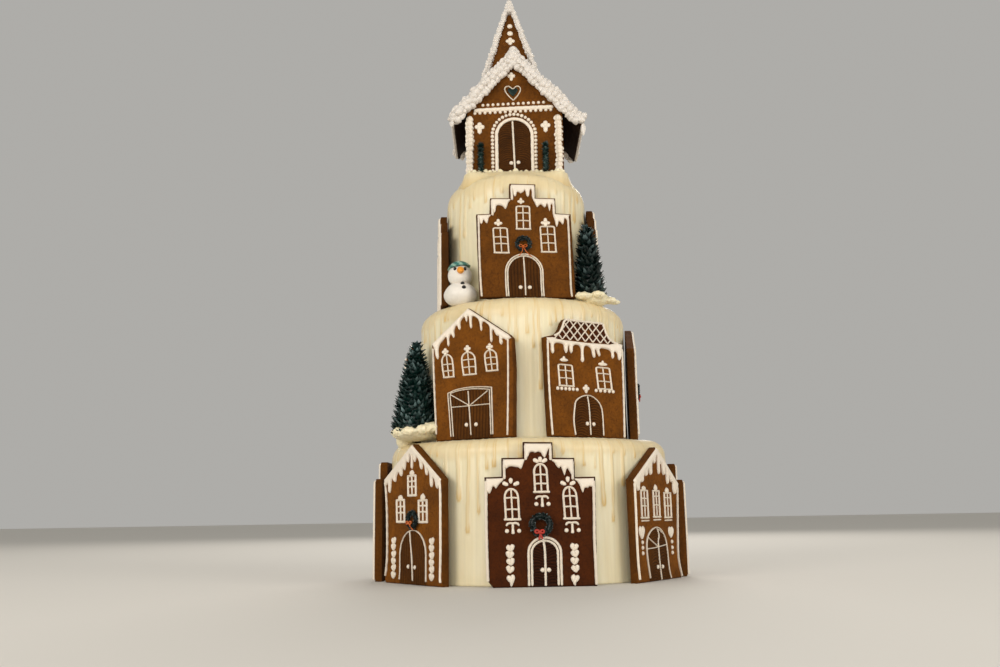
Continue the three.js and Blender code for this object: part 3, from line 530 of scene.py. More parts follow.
def bead(form, path, width, rise, base, seed=0.0, profile=None):
    """Icing piped along a path on a flat face: half-round, a little uneven, and round at both ends."""
    sides, spacing = 8, 1.25
    path = np.asarray(path, float)
    along = np.concatenate([[0], np.cumsum(np.hypot(*np.diff(path, axis=0).T))])
    total = along[-1]
    half = width / 2
    ends = [0, 0.15 * half, 0.5 * half, half]
    inner = np.linspace(half, total - half, max(2, int(total / spacing)))
    at = np.unique(np.round(np.concatenate([ends, inner, total - np.array(ends)]), 4))
    at = at[(at >= 0) & (at <= total)]
    x, y = np.interp(at, along, path[:, 0]), np.interp(at, along, path[:, 1])
    ahead = np.stack([np.gradient(x, at), np.gradient(y, at)])
    ahead /= np.maximum(np.hypot(*ahead), 1e-9)
    reach = np.clip(np.minimum(at, total - at) / half, 0, 1)
    cap = np.sqrt(np.clip(1 - (1 - reach) ** 2, 0.02, 1))
    flow = 1 + 0.07 * np.sin(at * 0.8 + seed) + 0.05 * np.sin(at * 2.1 + seed * 1.7)
    if profile is not None:
        flow = flow * np.interp(at / total, np.linspace(0, 1, len(profile)), profile)
    angle = ring_angles(sides)
    up = np.where(np.sin(angle) > 0, np.sin(angle) * rise, np.sin(angle) * 0.3)
    spread = (half * cap * flow)[:, None] * np.cos(angle)
    height = base + up * (cap * (0.6 + 0.4 * flow))[:, None]
    flat = (x[:, None] - ahead[1][:, None] * spread, y[:, None] + ahead[0][:, None] * spread)
    points = np.stack([*flat, height], 2).reshape(-1, 3)
    rows = len(at)
    caps = [np.arange(sides)[None, ::-1], ((rows - 1) * sides + np.arange(sides))[None]]
    form.add(points, flipped([grid_faces(rows, sides), *caps]))


def dome(form, x, y, radius, rise, base, turn=0.0, tail=0.0):
    """A dot of icing, or a teardrop whose tail points the way it is turned."""
    sides, sunk = 12, 0.3
    rings = np.array([0.3, 0.6, 0.84, 0.97, 1.0])
    levels = np.append(rise * np.sqrt(1 - rings[:-1] ** 2), -sunk)
    angle = ring_angles(sides)
    reach = radius * (1 + tail * np.clip(np.cos(angle - turn), 0, 1) ** 4)
    out = rings[:, None] * reach
    heights = np.broadcast_to((base + levels)[:, None], out.shape)
    points = np.stack([x + out * np.cos(angle), y + out * np.sin(angle), heights], 2).reshape(-1, 3)
    tips = [[x, y, base + rise], [x, y, base - sunk]]
    form.add(np.vstack([points, tips]), flipped(lathe_faces(len(rings), sides)))


def shell(form, start, end, radius, ridges=7, sides=14, flat=1.0, up=(0, 0, 1)):
    """One shell of a piped border: a ridged fat head at its start that draws out to a tail."""
    start, end = Vector(start), Vector(end)
    axis = (end - start).normalized()
    lift = (Vector(up) - axis * axis.dot(Vector(up))).normalized()
    side = axis.cross(lift)
    rows = np.array([0.03, 0.12, 0.28, 0.45, 0.62, 0.8, 0.95])
    size = radius * np.sin(np.pi * rows**0.72) ** 0.75
    angle = ring_angles(sides)
    ridge = 1 + 0.13 * np.cos(ridges * angle)
    centre = np.array(start) + np.outer(rows, np.array(end - start))
    ring = np.outer(np.cos(angle) * ridge, side) + flat * np.outer(np.sin(angle) * ridge, lift)
    points = (centre[:, None] + size[:, None, None] * ring[None]).reshape(-1, 3)
    form.add(np.vstack([points, np.array([start, end])]), lathe_faces(len(rows), sides))


def shell_row(form, start, end, radius, rng, overlap=1.5, jitter=0.06, last=None, up=(0, 0, 1)):
    """A border of shells along a straight line, from a radius to a last one."""
    start, end = Vector(start), Vector(end)
    last = last or radius
    count = max(2, round((end - start).length / ((radius + last) / 2 * overlap)))
    step = (end - start) / count
    for i in range(count):
        shift = Vector([rng.uniform(-jitter, jitter) * radius for _ in range(3)])
        here = start + step * i + shift
        size = (radius + (last - radius) * i / count) * rng.uniform(0.9, 1.08)
        shell(form, here - step * 0.35, here + step * 1.45, size, up=up)


def blob(form, centre, radius, rng):
    """One irregular dab of icing, pointing any way."""
    way = Vector([rng.uniform(-1, 1) for _ in range(3)]).normalized()
    centre = Vector(centre)
    ends = (centre - way * radius, centre + way * radius * 1.05)
    shell(form, *ends, radius, ridges=3, sides=9, flat=0.94, up=way.orthogonal())


def leaf(form, root, direction, size, tone):
    """A piped leaf: a pointed spike, wider than thick, bent a little upwards."""
    root, direction = Vector(root), Vector(direction).normalized()
    side = direction.cross(Vector((0, 0, 1))).normalized()
    lift = side.cross(direction)
    points = []
    for share, half, bend in ((0.0, 0.36, 0.0), (0.5, 0.28, 0.05)):
        middle = root + direction * size * share + lift * size * bend
        for u, v in ((1, 0), (0, 0.5), (-1, 0), (0, -0.5)):
            points.append(middle + side * u * half * size + lift * v * half * size)
    points += [root + direction * size + lift * size * 0.25, root - direction * size * 0.1]
    ring = [[k, (k + 1) % 4, 4 + (k + 1) % 4, 4 + k] for k in range(4)]
    tip = [[4 + k, 4 + (k + 1) % 4, 8] for k in range(4)]
    foot = [[(k + 1) % 4, k, 9] for k in range(4)]
    # The tone is a painted highlight, strongest at the tip
    form.add(points, [ring, tip, foot], [0.0] * 4 + [tone * 0.6] * 4 + [tone, 0.0])


def waver(points, scale, seed):
    """Smooth unevenness from -1 to 1 at points, with features a number of millimetres across."""
    return np.array([noise.noise(Vector((x / scale, y / scale, seed))) for x, y in points])


def uneven(*waves):
    """The relief of a rolled sheet, from waves that are each a depth, a size across and a seed."""
    return lambda points: sum(depth * waver(points, scale, seed) for depth, scale, seed in waves)


# Tiers


def node_box(node):
    """A node's lowest and highest corners in millimetres."""
    return [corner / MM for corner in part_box(node)]


def tier_spec(name):
    """A tier's middle, radius, base and height, from its solid."""
    low, high = node_box(f"tier_{name}")
    return {
        "x": (low.x + high.x) / 2,
        "radius": (high.x - low.x) / 2,
        "base": low.z,
        "height": HEIGHTS[name],
        "shoulder": SHOULDERS[name],
    }


# How far each tier stands out beyond its round, on the left and on the right
SWELL = {"bottom": (5.5, 3), "middle": (0, 0), "top": (0, 0)}

# Where the glaze has run furthest: azimuth in degrees from the front towards +X, length and half-width
RUNS = {
    "bottom": [
        (-26, 68, 2.6), (-30.5, 40, 3.4), (-21.5, 52, 2), (27, 46, 3.4), (31.5, 60, 2.2), (-36, 54, 2.4),
        (37, 30, 3), (79, 62, 4), (-79, 50, 4), (128, 70, 4), (-128, 58, 4), (180, 66, 4),
    ],
    "middle": [
        (7.4, 72, 2.6), (1.4, 20, 2.6), (4.6, 34, 1.8), (-4, 28, 3), (52, 52, 3), (-8, 46, 1.8),
        (112, 60, 4), (-62, 48, 3), (-118, 66, 4), (170, 58, 4),
    ],
    "top": [(-46, 42, 3), (-52, 70, 2.4), (48, 50, 3), (54, 26, 4), (-134, 60, 4), (134, 44, 4), (41, 34, 3)],
}


def all_runs(name, spec, rng):
    """The named runs of glaze, and short ones that fill in between them."""
    # Short runs keep this far from the named ones along the wall: degrees times radius, about 3.5 mm
    apart = 200
    runs = list(RUNS[name])
    azimuth = -180.0
    while azimuth < 180:
        azimuth += math.degrees(rng.uniform(5, 13) / spec["radius"])
        if min(abs(azimuth - run[0]) for run in RUNS[name]) * spec["radius"] > apart:
            runs.append((azimuth, rng.uniform(2, 34) * rng.uniform(0.4, 1), rng.uniform(1.3, 2.8)))
    return runs


def tier_profile(spec):
    """Radius, height and outward direction of the points down a tier's side, from its top's middle."""
    radius, height, shoulder = spec["radius"], spec["height"], spec["shoulder"]
    spacing = 1.9
    rows = [(r, height, 0.0, 1.0) for r in np.linspace(4, radius - shoulder, 14, endpoint=False)]
    for angle in np.linspace(math.pi / 2, 0, 14):
        c, s = math.cos(angle), math.sin(angle)
        rows.append((radius - shoulder + shoulder * c, height - shoulder + shoulder * s, c, s))
    rows += [(radius, z, 1.0, 0.0) for z in np.arange(height - shoulder - spacing, 2, -spacing)]
    rows += [(radius, 1.2, 1.0, 0.0), (radius - 0.4, 0.3, 0.7, 0.0), (radius - 1.2, 0.0, 0.0, 0.0)]
    return np.array(rows)


def glaze_depth(name, spec, azimuths, heights, rng):
    """How thick the glaze lies and how yellow it is, from 0 to 1: a cap that runs down in thin tongues."""
    wall = spec["height"] - spec["shoulder"]
    around = np.radians(azimuths)
    # The cap's lower edge waves up and down by up to 9 mm, and thins out over 6 mm
    edge = np.array([noise.noise(Vector((4 * math.sin(a), 4 * math.cos(a), 4.2))) for a in around])
    depth = np.clip((heights[:, None] - (wall - 5 + 9 * edge)) / 6, 0, 1)
    depth = depth * depth * (3 - 2 * depth) * 0.5
    tone = 0.9 * depth
    for azimuth, run, half in all_runs(name, spec, rng):
        # Each run sways as it goes down, and gathers in a drop at its end
        turn = (azimuths - azimuth + 180) % 360 - 180
        sway = 0.9 * np.sin(heights * 0.05 + azimuth)[:, None]
        across = np.abs(np.radians(turn)[None] * spec["radius"] + sway)
        beyond = np.clip(wall - run - heights, 0, None)[:, None]
        drop = 1 + 0.35 * np.exp(-(((heights - wall + run - half) / (half * 2)) ** 2))[:, None]
        width = 0.64 * half * drop
        inside = np.clip(1 - (across**2 + beyond**2) / width**2, 0, 1)
        near_end = np.exp(-(((heights - wall + run) / (half * 1.8)) ** 2))[:, None]
        depth = np.maximum(depth, inside**0.4 * (0.8 + 0.2 * near_end))
        # It is yellowest at its end and, as painted shade, along its two sides, and some runs are stronger
        # than others
        strength = 0.8 + 0.2 * np.sin(azimuth * 7)
        outline = 4 * inside * (1 - inside)
        tone = np.maximum(tone, strength * (inside**0.3 * (0.48 + 0.4 * near_end) + 0.45 * outline))
    return depth, np.clip(tone, 0, 1)


def make_tier(name):
    """A tier's skin of icing and glaze, finer round the front half than round the back."""
    spec = tier_spec(name)
    wide = spec["radius"]
    profile = tier_profile(spec)
    turns = (-75, 75, 285)
    counts = (int(math.radians(150) * wide), int(math.radians(210) * wide / 3.2))
    azimuths = np.concatenate([np.linspace(*turns[k : k + 2], counts[k], endpoint=False) for k in (0, 1)])
    heights = profile[:, 1]
    depth, yellow = glaze_depth(name, spec, azimuths, heights, random.Random(name))
    angle = np.radians(azimuths)
    sweep = np.stack([np.sin(angle), -np.cos(angle)])

    def lumps(across, tall, shift=0):
        """Noise over the skin, with features a number of millimetres across and tall."""
        return np.array([
            [noise.noise(Vector((s * r / across, c * r / across, z / tall + shift))) for s, c in sweep.T]
            for r, z in profile[:, :2]
        ])

    waves, dents = lumps(26, 34), lumps(7, 9, 20)
    ribs = np.array([noise.noise(Vector((s * wide / 2.6, c * wide / 2.6, 7))) for s, c in sweep.T])
    rough = 0.45 * waves - 0.5 * np.clip(dents - 0.35, 0, 1) + 0.16 * ribs
    swell = np.where(sweep[0] < 0, *SWELL[name]) * sweep[0] ** 8
    out = depth * sizes("glaze") + swell * np.clip(heights / 12, 0, 1)[:, None]
    out = out + rough * np.clip(heights / 6, 0, 1)[:, None]
    radius = profile[:, 0, None] + out * profile[:, 2, None]
    height = np.clip(profile[:, 1, None] + out * profile[:, 3, None], 0, None)
    points = np.stack([radius * sweep[0] + spec["x"], radius * sweep[1], height + spec["base"]], 2)
    tips = [[spec["x"], 0, spec["base"] + spec["height"] + 0.4], [spec["x"], 0, spec["base"]]]
    top = np.where(profile[:, 3, None] > 0.9, 0.35, 1.0)
    form = Moulding()
    faces = flipped(lathe_faces(len(profile), len(azimuths)))
    form.add(np.vstack([points.reshape(-1, 3), tips]), faces, np.append((yellow * top).ravel(), [0.3, 0]))
    if name == "top":
        add_church_bed(form, spec)
    form.make(f"icing_{name}_tier", ["poured"], "ivory_icing", f"tier_{name}")


def add_church_bed(form, spec):
    """The bank of icing that the church is bedded in, from the tier's round shoulder to the walls."""
    # Rows of the bank: share of the way from the round to the walls, level below its top, and tone
    levels = [
        (0.0, -24, 0.9), (0.2, -15, 0.8), (0.42, -8, 0.6), (0.66, -3.2, 0.4), (0.85, -0.8, 0.3),
        (1.0, 0.0, 0.3), (1.12, -0.2, 0.3), (1.3, -1.2, 0.3),
    ]
    top = church_base() + 2.9
    middle = church_middle() - spec["x"]
    columns = 180
    points = []
    for share, drop, _ in levels:
        for angle in ring_angles(columns):
            c, s = math.cos(angle), math.sin(angle)
            sideways = (CHURCH["half"] + 3 + c * middle) / max(abs(c), 0.01)
            forwards = (CHURCH["depth"] / 2 + 6) / max(abs(s), 0.01)
            boxed = min(sideways, forwards, spec["radius"] - 3.5)
            reach = spec["radius"] * 0.985 * (1 - share) + boxed * share
            lump = noise.noise(Vector((c * 5, s * 5, share * 2)))
            points.append((spec["x"] + reach * c, reach * s, top + drop + lump * 0.9 * min(1, share * 2)))
    points += [(spec["x"], 0, top - 26), (spec["x"], 0, top - 3)]
    tone = np.append(np.repeat([level[2] for level in levels], columns), [0, 0])
    form.add(points, lathe_faces(len(levels), columns), tone)
    rng = random.Random("bed")
    for x in np.arange(2 - CHURCH["half"], CHURCH["half"], 5.2):
        out = CHURCH["depth"] / 2 + rng.uniform(2.2, 3.6)
        spot = (church_middle() + x, -out, church_base() + rng.uniform(2.4, 4))
        blob(form, spot, rng.uniform(2.6, 3.8), rng)


# Houses


def arch_path(left, right, top, flat=1.0, splay=0.0):
    """Points round a door from its left foot over its arch to its right."""
    middle, half = (left + right) / 2, (right - left) / 2
    spring = top - half * flat
    arch = [
        (middle + half * math.cos(a), spring + half * flat * math.sin(a)) for a in np.linspace(math.pi, 0, 13)
    ]
    return [(left + splay, 1), (left, spring * 0.5), *arch, (right, spring * 0.5), (right + splay * 0.8, 1)]


# Each design, in millimetres from the middle of its foot: the roof from the right eaves over to the left,
# the biscuit's sides, the lines piped down them, the snow's lower edge, and what is piped below it.
# A window is its middle, foot, width, height, how far its head leans to the left and the shares of its
# height where bars cross it. One with a cornice adds the cornice's share of the height, and can add the
# sill's overhang. The style is what the windows of a house share: head, line, sill, bulge or second sill.
DESIGNS = {
    "stepped_centre": {
        "roof": [
            (46.3, 89.2), (29.2, 89), (29.2, 105.2), (10.9, 105.4), (10.9, 118.6), (-14.2, 119),
            (-14.4, 105.9), (-32.6, 105.8), (-32.7, 90.2), (-47.1, 90),
        ],
        "left": [(-45, 5), (-41, 0)],
        "right": [(44.7, 0)],
        "inset": 1.2,
        "sides": [
            [(-46, 87), (-46.2, 50), (-45.8, 20), (-45.4, 5)],
            [(44.6, 86), (44.2, 60), (43.6, 40), (43.8, 20), (44, 1)],
        ],
        "side_line": 2.4,
        "edge": [
            (-46.2, 79), (-44.6, 77.2), (-43.1, 76.2), (-41.6, 78.5), (-40.4, 82), (-39, 81.8),
            (-37.8, 80.2), (-36.2, 82.2), (-34.8, 84), (-32.2, 86.5), (-31, 88.5), (-30.8, 92),
            (-30.9, 97), (-30.2, 98.2), (-28.7, 96.6), (-27.2, 98), (-24.5, 98.6), (-21, 98),
            (-18.5, 97.6), (-16.6, 96.2), (-15, 98.8), (-13.6, 102.5), (-12.8, 104.2), (-11, 105.6),
            (-9.6, 107.5), (-8.6, 110), (-6, 110.4), (-4.2, 109.6), (-2, 110.4), (0.4, 110), (1.8, 107.6),
            (3.7, 105.4), (5.2, 107.8), (6.2, 110.5), (7.6, 113), (8.6, 112), (8.9, 106), (9.8, 103),
            (12, 101.2), (13.6, 98.4), (15.7, 96.4), (17.2, 97.8), (18.4, 95), (20.2, 90.4), (21.6, 94),
            (22.6, 96.2), (23.8, 95), (25.6, 91.6), (27, 89.6), (28.6, 86.8), (30.4, 85.6), (32.4, 82.6),
            (35.1, 76), (37, 79.8), (39.6, 79.8), (41, 81), (42.8, 80.6), (44.6, 80),
        ],
        "window_style": {"head": "arch", "line": 1.85, "sill": 0.9},
        "windows": [
            (-24.2, 54.9, 13, 25, 0.9, (0.32, 0.7)),
            (0.5, 77.1, 12.6, 23.2, 0.7, (0.29, 0.61)),
            (25.1, 54.9, 12.8, 26, 1.3, (0.37, 0.7)),
        ],
        "tears": [(-25.2, 84.6, 5.5, 2.8), (-0.1, 103.6, 4.4, 1.2), (22.8, 84.4, 4.8, 3.5)],
        "scrolls": [(-24.2, 51.8), (0.8, 73.4), (25.4, 51.6)],
        "door": {
            "path": arch_path(-10.25, 14.05, 38.5, 0.9), "double": 2.6,
            "middle": [(0.2, 40.3), (2, 29), (2.1, 0.8)], "knobs": [(-0.3, 13.7), (5, 13.7)],
            "grain": "whorl",
        },
        "hearts": [
            *[(-26.7, y, 7.2, 0) for y in (31.6, 26.3, 20.6, 14.5)], (-26.7, 7.2, 7.2, 3.4),
            *[(26.8, y, 7.2, 0) for y in (31.6, 26.3, 20.4, 14.2)], (26.8, 6.4, 7.2, 2.6),
        ],
    },
    "stepped_top": {
        "roof": [
            (44.4, 83.6), (30, 84.2), (29.8, 99.4), (10.6, 99.6), (10.8, 113.4), (-14.4, 113.6),
            (-14.8, 98.8), (-33.4, 98.6), (-34, 82.8), (-47, 82),
        ],
        "left": [(-44.5, 0)],
        "right": [(46.8, 0), (46.6, 5)],
        "inset": 1.2,
        "sides": [
            [(-45, 81), (-44.8, 70), (-44.4, 40), (-43.6, 15), (-42.7, 0.8)],
            [(41.4, 80), (41.8, 60), (42, 35), (42.2, 10), (43, 0.8)],
        ],
        "side_line": 1.9,
        "edge": [
            (-44.6, 78), (-43.8, 74), (-42.4, 71.8), (-41, 73.6), (-40.2, 76.2), (-38.6, 74.2),
            (-36.9, 72.6), (-35.8, 75), (-35, 78.4), (-32.8, 81.2), (-31.8, 83.6), (-31.6, 86),
            (-29.6, 83.4), (-28.4, 86), (-27.8, 90), (-26, 91.2), (-22.6, 90.6), (-20.8, 89.4),
            (-18.9, 87.4), (-17.4, 89.8), (-16, 94), (-14, 96.6), (-13, 100), (-13, 107), (-12.4, 108.4),
            (-11.4, 106), (-11, 102), (-9.4, 100.2), (-8, 102.2), (-7.4, 104.8), (-5.6, 104.6),
            (-4, 103.4), (-2.6, 104.2), (-0.8, 105.4), (-0.2, 107), (0.8, 105.6), (1.4, 102), (3, 100),
            (4.4, 102), (5, 106.4), (6, 107.8), (6.8, 106), (6.8, 101), (7.8, 97.4), (9.4, 94.4),
            (10.6, 91.4), (12, 89.6), (13.6, 91.4), (15.4, 92.6), (17.4, 91), (19, 89.4), (20.4, 91),
            (21.4, 93.4), (22.6, 90), (23.6, 85.6), (24.8, 88.6), (25.2, 92.6), (26.6, 92.2), (27, 88),
            (27, 82), (28.4, 77), (29.2, 72.6), (30.4, 70), (31.8, 73), (32.4, 75.6), (34, 75), (36, 72.4),
            (37.4, 75), (38, 78.6), (39.4, 78), (40.6, 76),
        ],
        "window_style": {"head": "round", "line": 1.6},
        "windows": [
            (-1.9, 67.6, 14.4, 22.7, 0.2, (0.36, 0.7)),
            (-23.2, 43.8, 15, 24.4, 1.2, (0.36, 0.63)),
            (22.1, 45, 15.2, 25.4, 1.1, (0.34, 0.68)),
        ],
        "fleurs": [(-26.1, 70.5, 7), (-3.9, 93, 6), (19.4, 71, 8)],
        "door": {
            "path": arch_path(-18.8, 14.7, 41.6, 1, 0.7), "double": 1.9,
            "middle": [(-2.6, 41), (-1.6, 20), (-1.2, 2)], "knobs": [(-5.9, 10), (2.8, 10)],
            "grain": "planks", "line": 1.5,
        },
    },
    "stepped_side": {
        "roof": [(46, 94.6), (22, 95), (22, 112), (-22, 112), (-22, 95), (-46, 94.6)],
        "left": [(-45, 0)],
        "right": [(45, 0)],
        "inset": 1.2,
        "window_style": {"head": "round", "line": 1.7},
        "windows": [
            (0, 74, 14, 22, 0.3, (0.34, 0.67)),
            (-25, 48, 14, 24, 0.8, (0.34, 0.67)),
            (25, 48, 14, 24, 0.8, (0.34, 0.67)),
        ],
        "fleurs": [(-25.6, 75, 7), (24.4, 75, 7)],
        "door": {
            "path": arch_path(-14, 14, 40.5, 1, 0.5), "middle": [(0.2, 40), (0.6, 20), (0.4, 1)],
            "knobs": [(-3, 12.5), (3.6, 12.5)], "grain": "planks",
        },
        "hearts": [(x, y, 7, 0) for x in (-27, 27) for y in (31, 25, 19, 13, 7)],
    },
    "gable_hearts": {
        "roof": [(48.4, 90), (1.3, 123.2), (-47, 93.8)],
        "left": [(-47, 91), (-44, 60), (-43, 25), (-45.5, 3), (-45, 0)],
        "right": [(48.4, 0)],
        "inset": 0.8,
        "sides": [
            [(-45.2, 91), (-43.6, 86), (-41.5, 70), (-40.3, 50), (-40, 25), (-41.2, 14), (-43, 6)],
            [(46.4, 88), (47.2, 75), (47.2, 50), (47.2, 28), (46.4, 8), (47, 3.5)],
        ],
        "side_line": 1.5,
        "edge": [
            (-45, 89.5), (-42.5, 88), (-40.2, 90.5), (-38.8, 88), (-38.5, 83), (-36.6, 80.6),
            (-34.8, 83.5), (-34.2, 90), (-32.5, 93.2), (-30.4, 92.8), (-29.6, 91.6), (-27.3, 90.2),
            (-25.4, 92), (-25, 95), (-22.5, 98.2), (-20, 98.5), (-18.6, 96.5), (-16.7, 94.9), (-14.6, 97),
            (-14.2, 101), (-12.6, 102.2), (-10.8, 100), (-9.2, 102.6), (-8.6, 106.4), (-7, 109),
            (-4.9, 106.6), (-3, 108.6), (-2.6, 112.5), (-1, 113.8), (0.2, 110), (0.2, 103), (1.6, 100.8),
            (3, 103), (3.1, 111), (3.6, 113), (4.6, 109), (6, 106.6), (8, 108.4), (9.2, 111.4),
            (11.4, 109.6), (14.2, 106.2), (15.2, 102), (17.4, 99.4), (19.2, 101.6), (19, 105),
            (20.6, 104.6), (23, 101), (24, 96.4), (25.8, 93.8), (27.6, 96), (27.4, 99.4), (29, 98),
            (30.8, 94), (31.4, 86.5), (33.4, 83.2), (35.4, 85.6), (35.6, 90.4), (37.4, 90.6), (39.4, 87.5),
            (40.4, 84), (42.4, 81.7), (44.6, 83.5), (46, 84),
        ],
        "window_style": {"line": 2.1},
        "windows": [
            (1.9, 77.4, 14.6, 21.9, 0.8, (0.34, 0.56), 0.79),
            (-17, 54.4, 14.8, 23.3, 1.1, (0.34, 0.57), 0.83),
            (19.7, 53.9, 14.8, 23.8, 0.7, (0.36, 0.58), 0.78),
        ],
        "door": {
            "path": [
                (-18.7, 3.8), (-17.6, 10), (-17.4, 25.8), *arch_path(-17.4, 24.9, 46.9)[2:-2], (24.9, 25.8),
                (24.7, 3.4),
            ],
            "middle": [(-1.4, 46.4), (1.8, 26), (3.7, 3.4)], "knobs": [(-3.9, 15.5), (6.9, 15.1)],
            "grain": "planks", "line": 1.25,
        },
        "hearts": [
            *[(-29.2, y, 7.6, 0) for y in (37.5, 32, 25.6, 19.4, 13.6, 7.3)],
            *[(33.2, y, 7.6, 0) for y in (37.5, 31.6, 25.5, 19.4, 13.8, 7.6)],
        ],
    },
    "gable_row": {
        "roof": [(42.4, 86), (0.8, 117.2), (-47, 86.8)],
        "left": [(-45.6, 0)],
        "right": [(41.5, 0), (37.6, 12), (36, 22), (37.4, 40), (39.8, 60), (42, 82)],
        "inset": 0.8,
        "sides": [
            [(-45.6, 84), (-45.4, 60), (-45.8, 40), (-45.4, 18), (-43.6, 3)],
            [(40, 82), (39.2, 76), (37.6, 60), (35.4, 40), (33.9, 22), (35.6, 12), (40, 1.4)],
        ],
        "side_line": 1.4,
        "edge": [
            (-43.5, 80.5), (-41.5, 78.6), (-39.4, 77.2), (-37, 78.4), (-36.4, 82), (-35, 85.4),
            (-33.4, 85), (-31, 84.8), (-28.8, 86.2), (-28.2, 89.4), (-26.4, 92.6), (-24.8, 91.2),
            (-22.6, 90.4), (-20.2, 92), (-19.4, 96), (-17.6, 97), (-16.4, 93.6), (-14, 91.6),
            (-11.4, 93.6), (-11, 99.5), (-9.4, 103.8), (-7.8, 103.4), (-5.6, 102), (-3.6, 104), (-3, 107),
            (-1.6, 109.6), (0, 109), (0.6, 104), (0.6, 96), (2.5, 92.7), (4.6, 95.6), (4.8, 102),
            (6, 104.4), (7.4, 101.6), (8.8, 103), (9.4, 100), (10.2, 95), (12.4, 92.2), (15, 94),
            (15.4, 98.4), (16.8, 98), (17.6, 92), (17.8, 87), (19.8, 84.4), (22, 86.6), (22.4, 91),
            (24.2, 91.2), (26, 87.6), (28.4, 86), (30.6, 86.4), (30, 83), (30.4, 78.4), (33.2, 75.4),
            (36.6, 76.6), (38, 79), (40, 80),
        ],
        "window_style": {"line": 1.6, "double": 2.6},
        "windows": [
            (-28.2, 54.4, 13.5, 27, 0, (0.37, 0.61), 0.87, 1.2),
            (-5, 55, 12.8, 27.6, 0, (0.37, 0.65), 0.83, 1.4),
            (17.9, 54.4, 14.1, 26.1, 0, (0.39, 0.67), 0.84, 0.9),
        ],
        "big_hearts": [(-35.6, 41.9, 10.5, 11.3), (21.9, 41.2, 10.5, 10)],
        "dots": [
            *[(-35, y, 1.8) for y in (33.7, 29.2, 24.6)], *[(23.3, y, 1.8) for y in (32.8, 27.6, 23.1)],
        ],
        "door": {
            "path": [
                (-23.9, 3.1), (-26.2, 13), (-28, 22), (-28.2, 31), (-26, 37.5), (-21, 41.8), (-14, 44.9),
                (-6.9, 46), (-1, 44.8), (4, 41.6), (8.5, 36.6), (10.8, 30.5), (12.2, 22), (13.6, 10),
                (17, 1),
            ],
            "bars": [
                [(-26.4, 28), (-12, 28.6), (10.8, 30.6)], [(-25.2, 37.8), (-17, 34), (-6.2, 29.4)],
                [(-6, 44), (-1.5, 43.4), (2.4, 41.2)],
            ],
            "middle": [(-7, 45), (-4.6, 41), (-4.2, 38), (-6, 33), (-5.4, 22), (-4, 11), (-2.2, 0.8)],
            "knobs": [(-8.3, 12), (1.1, 11.8)], "grain": "whorl", "line": 1.2,
        },
    },
    "gable_transom": {
        "roof": [(40.4, 88), (37.4, 91.6), (33, 94.6), (-3.2, 120.3), (-41.8, 90.2)],
        "left": [(-41.4, 80), (-37.4, 0)],
        "right": [(40.2, 0), (41.8, 60)],
        "inset": 0.3,
        "sides": [
            [(-40, 86), (-39.4, 65), (-38.4, 40), (-37.4, 20), (-36.7, 6)],
            [(36.9, 87), (36.6, 60), (36, 35), (35.2, 12), (34.8, 1.5)],
        ],
        "side_line": 1.5,
        "edge": [
            (-39.6, 87), (-38.4, 84), (-37.4, 78.6), (-35.4, 75.2), (-34, 77.6), (-34.4, 84), (-33, 89),
            (-30, 92), (-26.4, 95.2), (-25.2, 92), (-25, 88.4), (-23.9, 86.2), (-22.6, 88.6), (-23, 93),
            (-21.6, 97.4), (-20, 96), (-18.6, 93.6), (-17.2, 95.4), (-17.6, 100), (-16, 104.4),
            (-14.4, 104.4), (-13.4, 102), (-12.1, 100.4), (-10.9, 102.4), (-11, 107.4), (-8.6, 111.4),
            (-6.8, 112), (-5.4, 108.4), (-4.6, 107.2), (-3.8, 108.6), (-3.6, 112), (-2.4, 112),
            (-1.8, 107), (-1.4, 102.6), (-0.2, 100.6), (1, 102.4), (0.8, 108), (1.6, 111.8), (4.4, 111),
            (7.4, 108), (8.8, 103.6), (9.2, 99.4), (10.3, 97), (11.4, 99), (11.2, 103), (12.4, 105.6),
            (16, 103.6), (18.6, 100), (19, 92), (19.2, 87.6), (20.3, 85.6), (21.6, 88), (21.4, 95),
            (22.4, 97.2), (24.2, 93.6), (26.2, 91), (27.8, 91.2), (28.2, 88), (28.4, 84.6), (30.1, 82.6),
            (31.8, 84.6), (31.4, 88), (33.6, 87.4), (35.2, 86),
        ],
        "window_style": {"head": "arch", "line": 1.5, "bulge": 0.1},
        "windows": [
            (-23.5, 57.8, 11.6, 21, 2.4, (0.27, 0.56)),
            (-1.9, 58.4, 13.8, 20.6, 1.9, (0.33, 0.66)),
            (20.8, 60, 12.2, 19, 2, (0.3, 0.62)),
        ],
        "lobes": [(-27.3, 81.6, 7), (-4.3, 82.3, 7), (18.4, 81.8, 7)],
        "door": {
            "path": [
                (-21.4, 3), (-23, 25), (-24.3, 41.6), (-23.2, 43), (-15, 45.6), (-1.6, 46.7), (12, 46),
                (19.4, 45), (19.9, 44), (20.3, 25), (20.6, 3),
            ],
            "bars": [
                [
                    (-19, 3), (-20.6, 25), (-21.9, 41), (-19, 43.2), (-12, 44.6), (-1.6, 45.1), (10, 44.4),
                    (17.6, 43.2), (17.9, 42), (18.4, 25), (18.8, 3),
                ],
                [(-20.8, 29.8), (-2, 30), (17.9, 30.4)],
                [(-21.4, 41.2), (-3.2, 30.6)], [(16.2, 42.3), (-1.6, 30.6)],
            ],
            "middle": [(-3.6, 43.6), (-2.4, 25), (-1, 3.4)], "knobs": [(-5.7, 13.1), (4, 12.9)],
            "grain": "planks", "line": 1.15,
        },
    },
    "mansard": {
        "roof": [
            (41.4, 89), (36, 89.2), (30.4, 90.4), (26, 93), (23.2, 96.8), (21, 102), (19.2, 106.8),
            (-23.4, 106.6), (-25.8, 103.4), (-28.2, 97.6), (-31.4, 93.2), (-36.4, 90.6), (-45.2, 88.6),
        ],
        "left": [(-42.5, 0)],
        "right": [(41.4, 0)],
        "inset": 0.6,
        "band": [
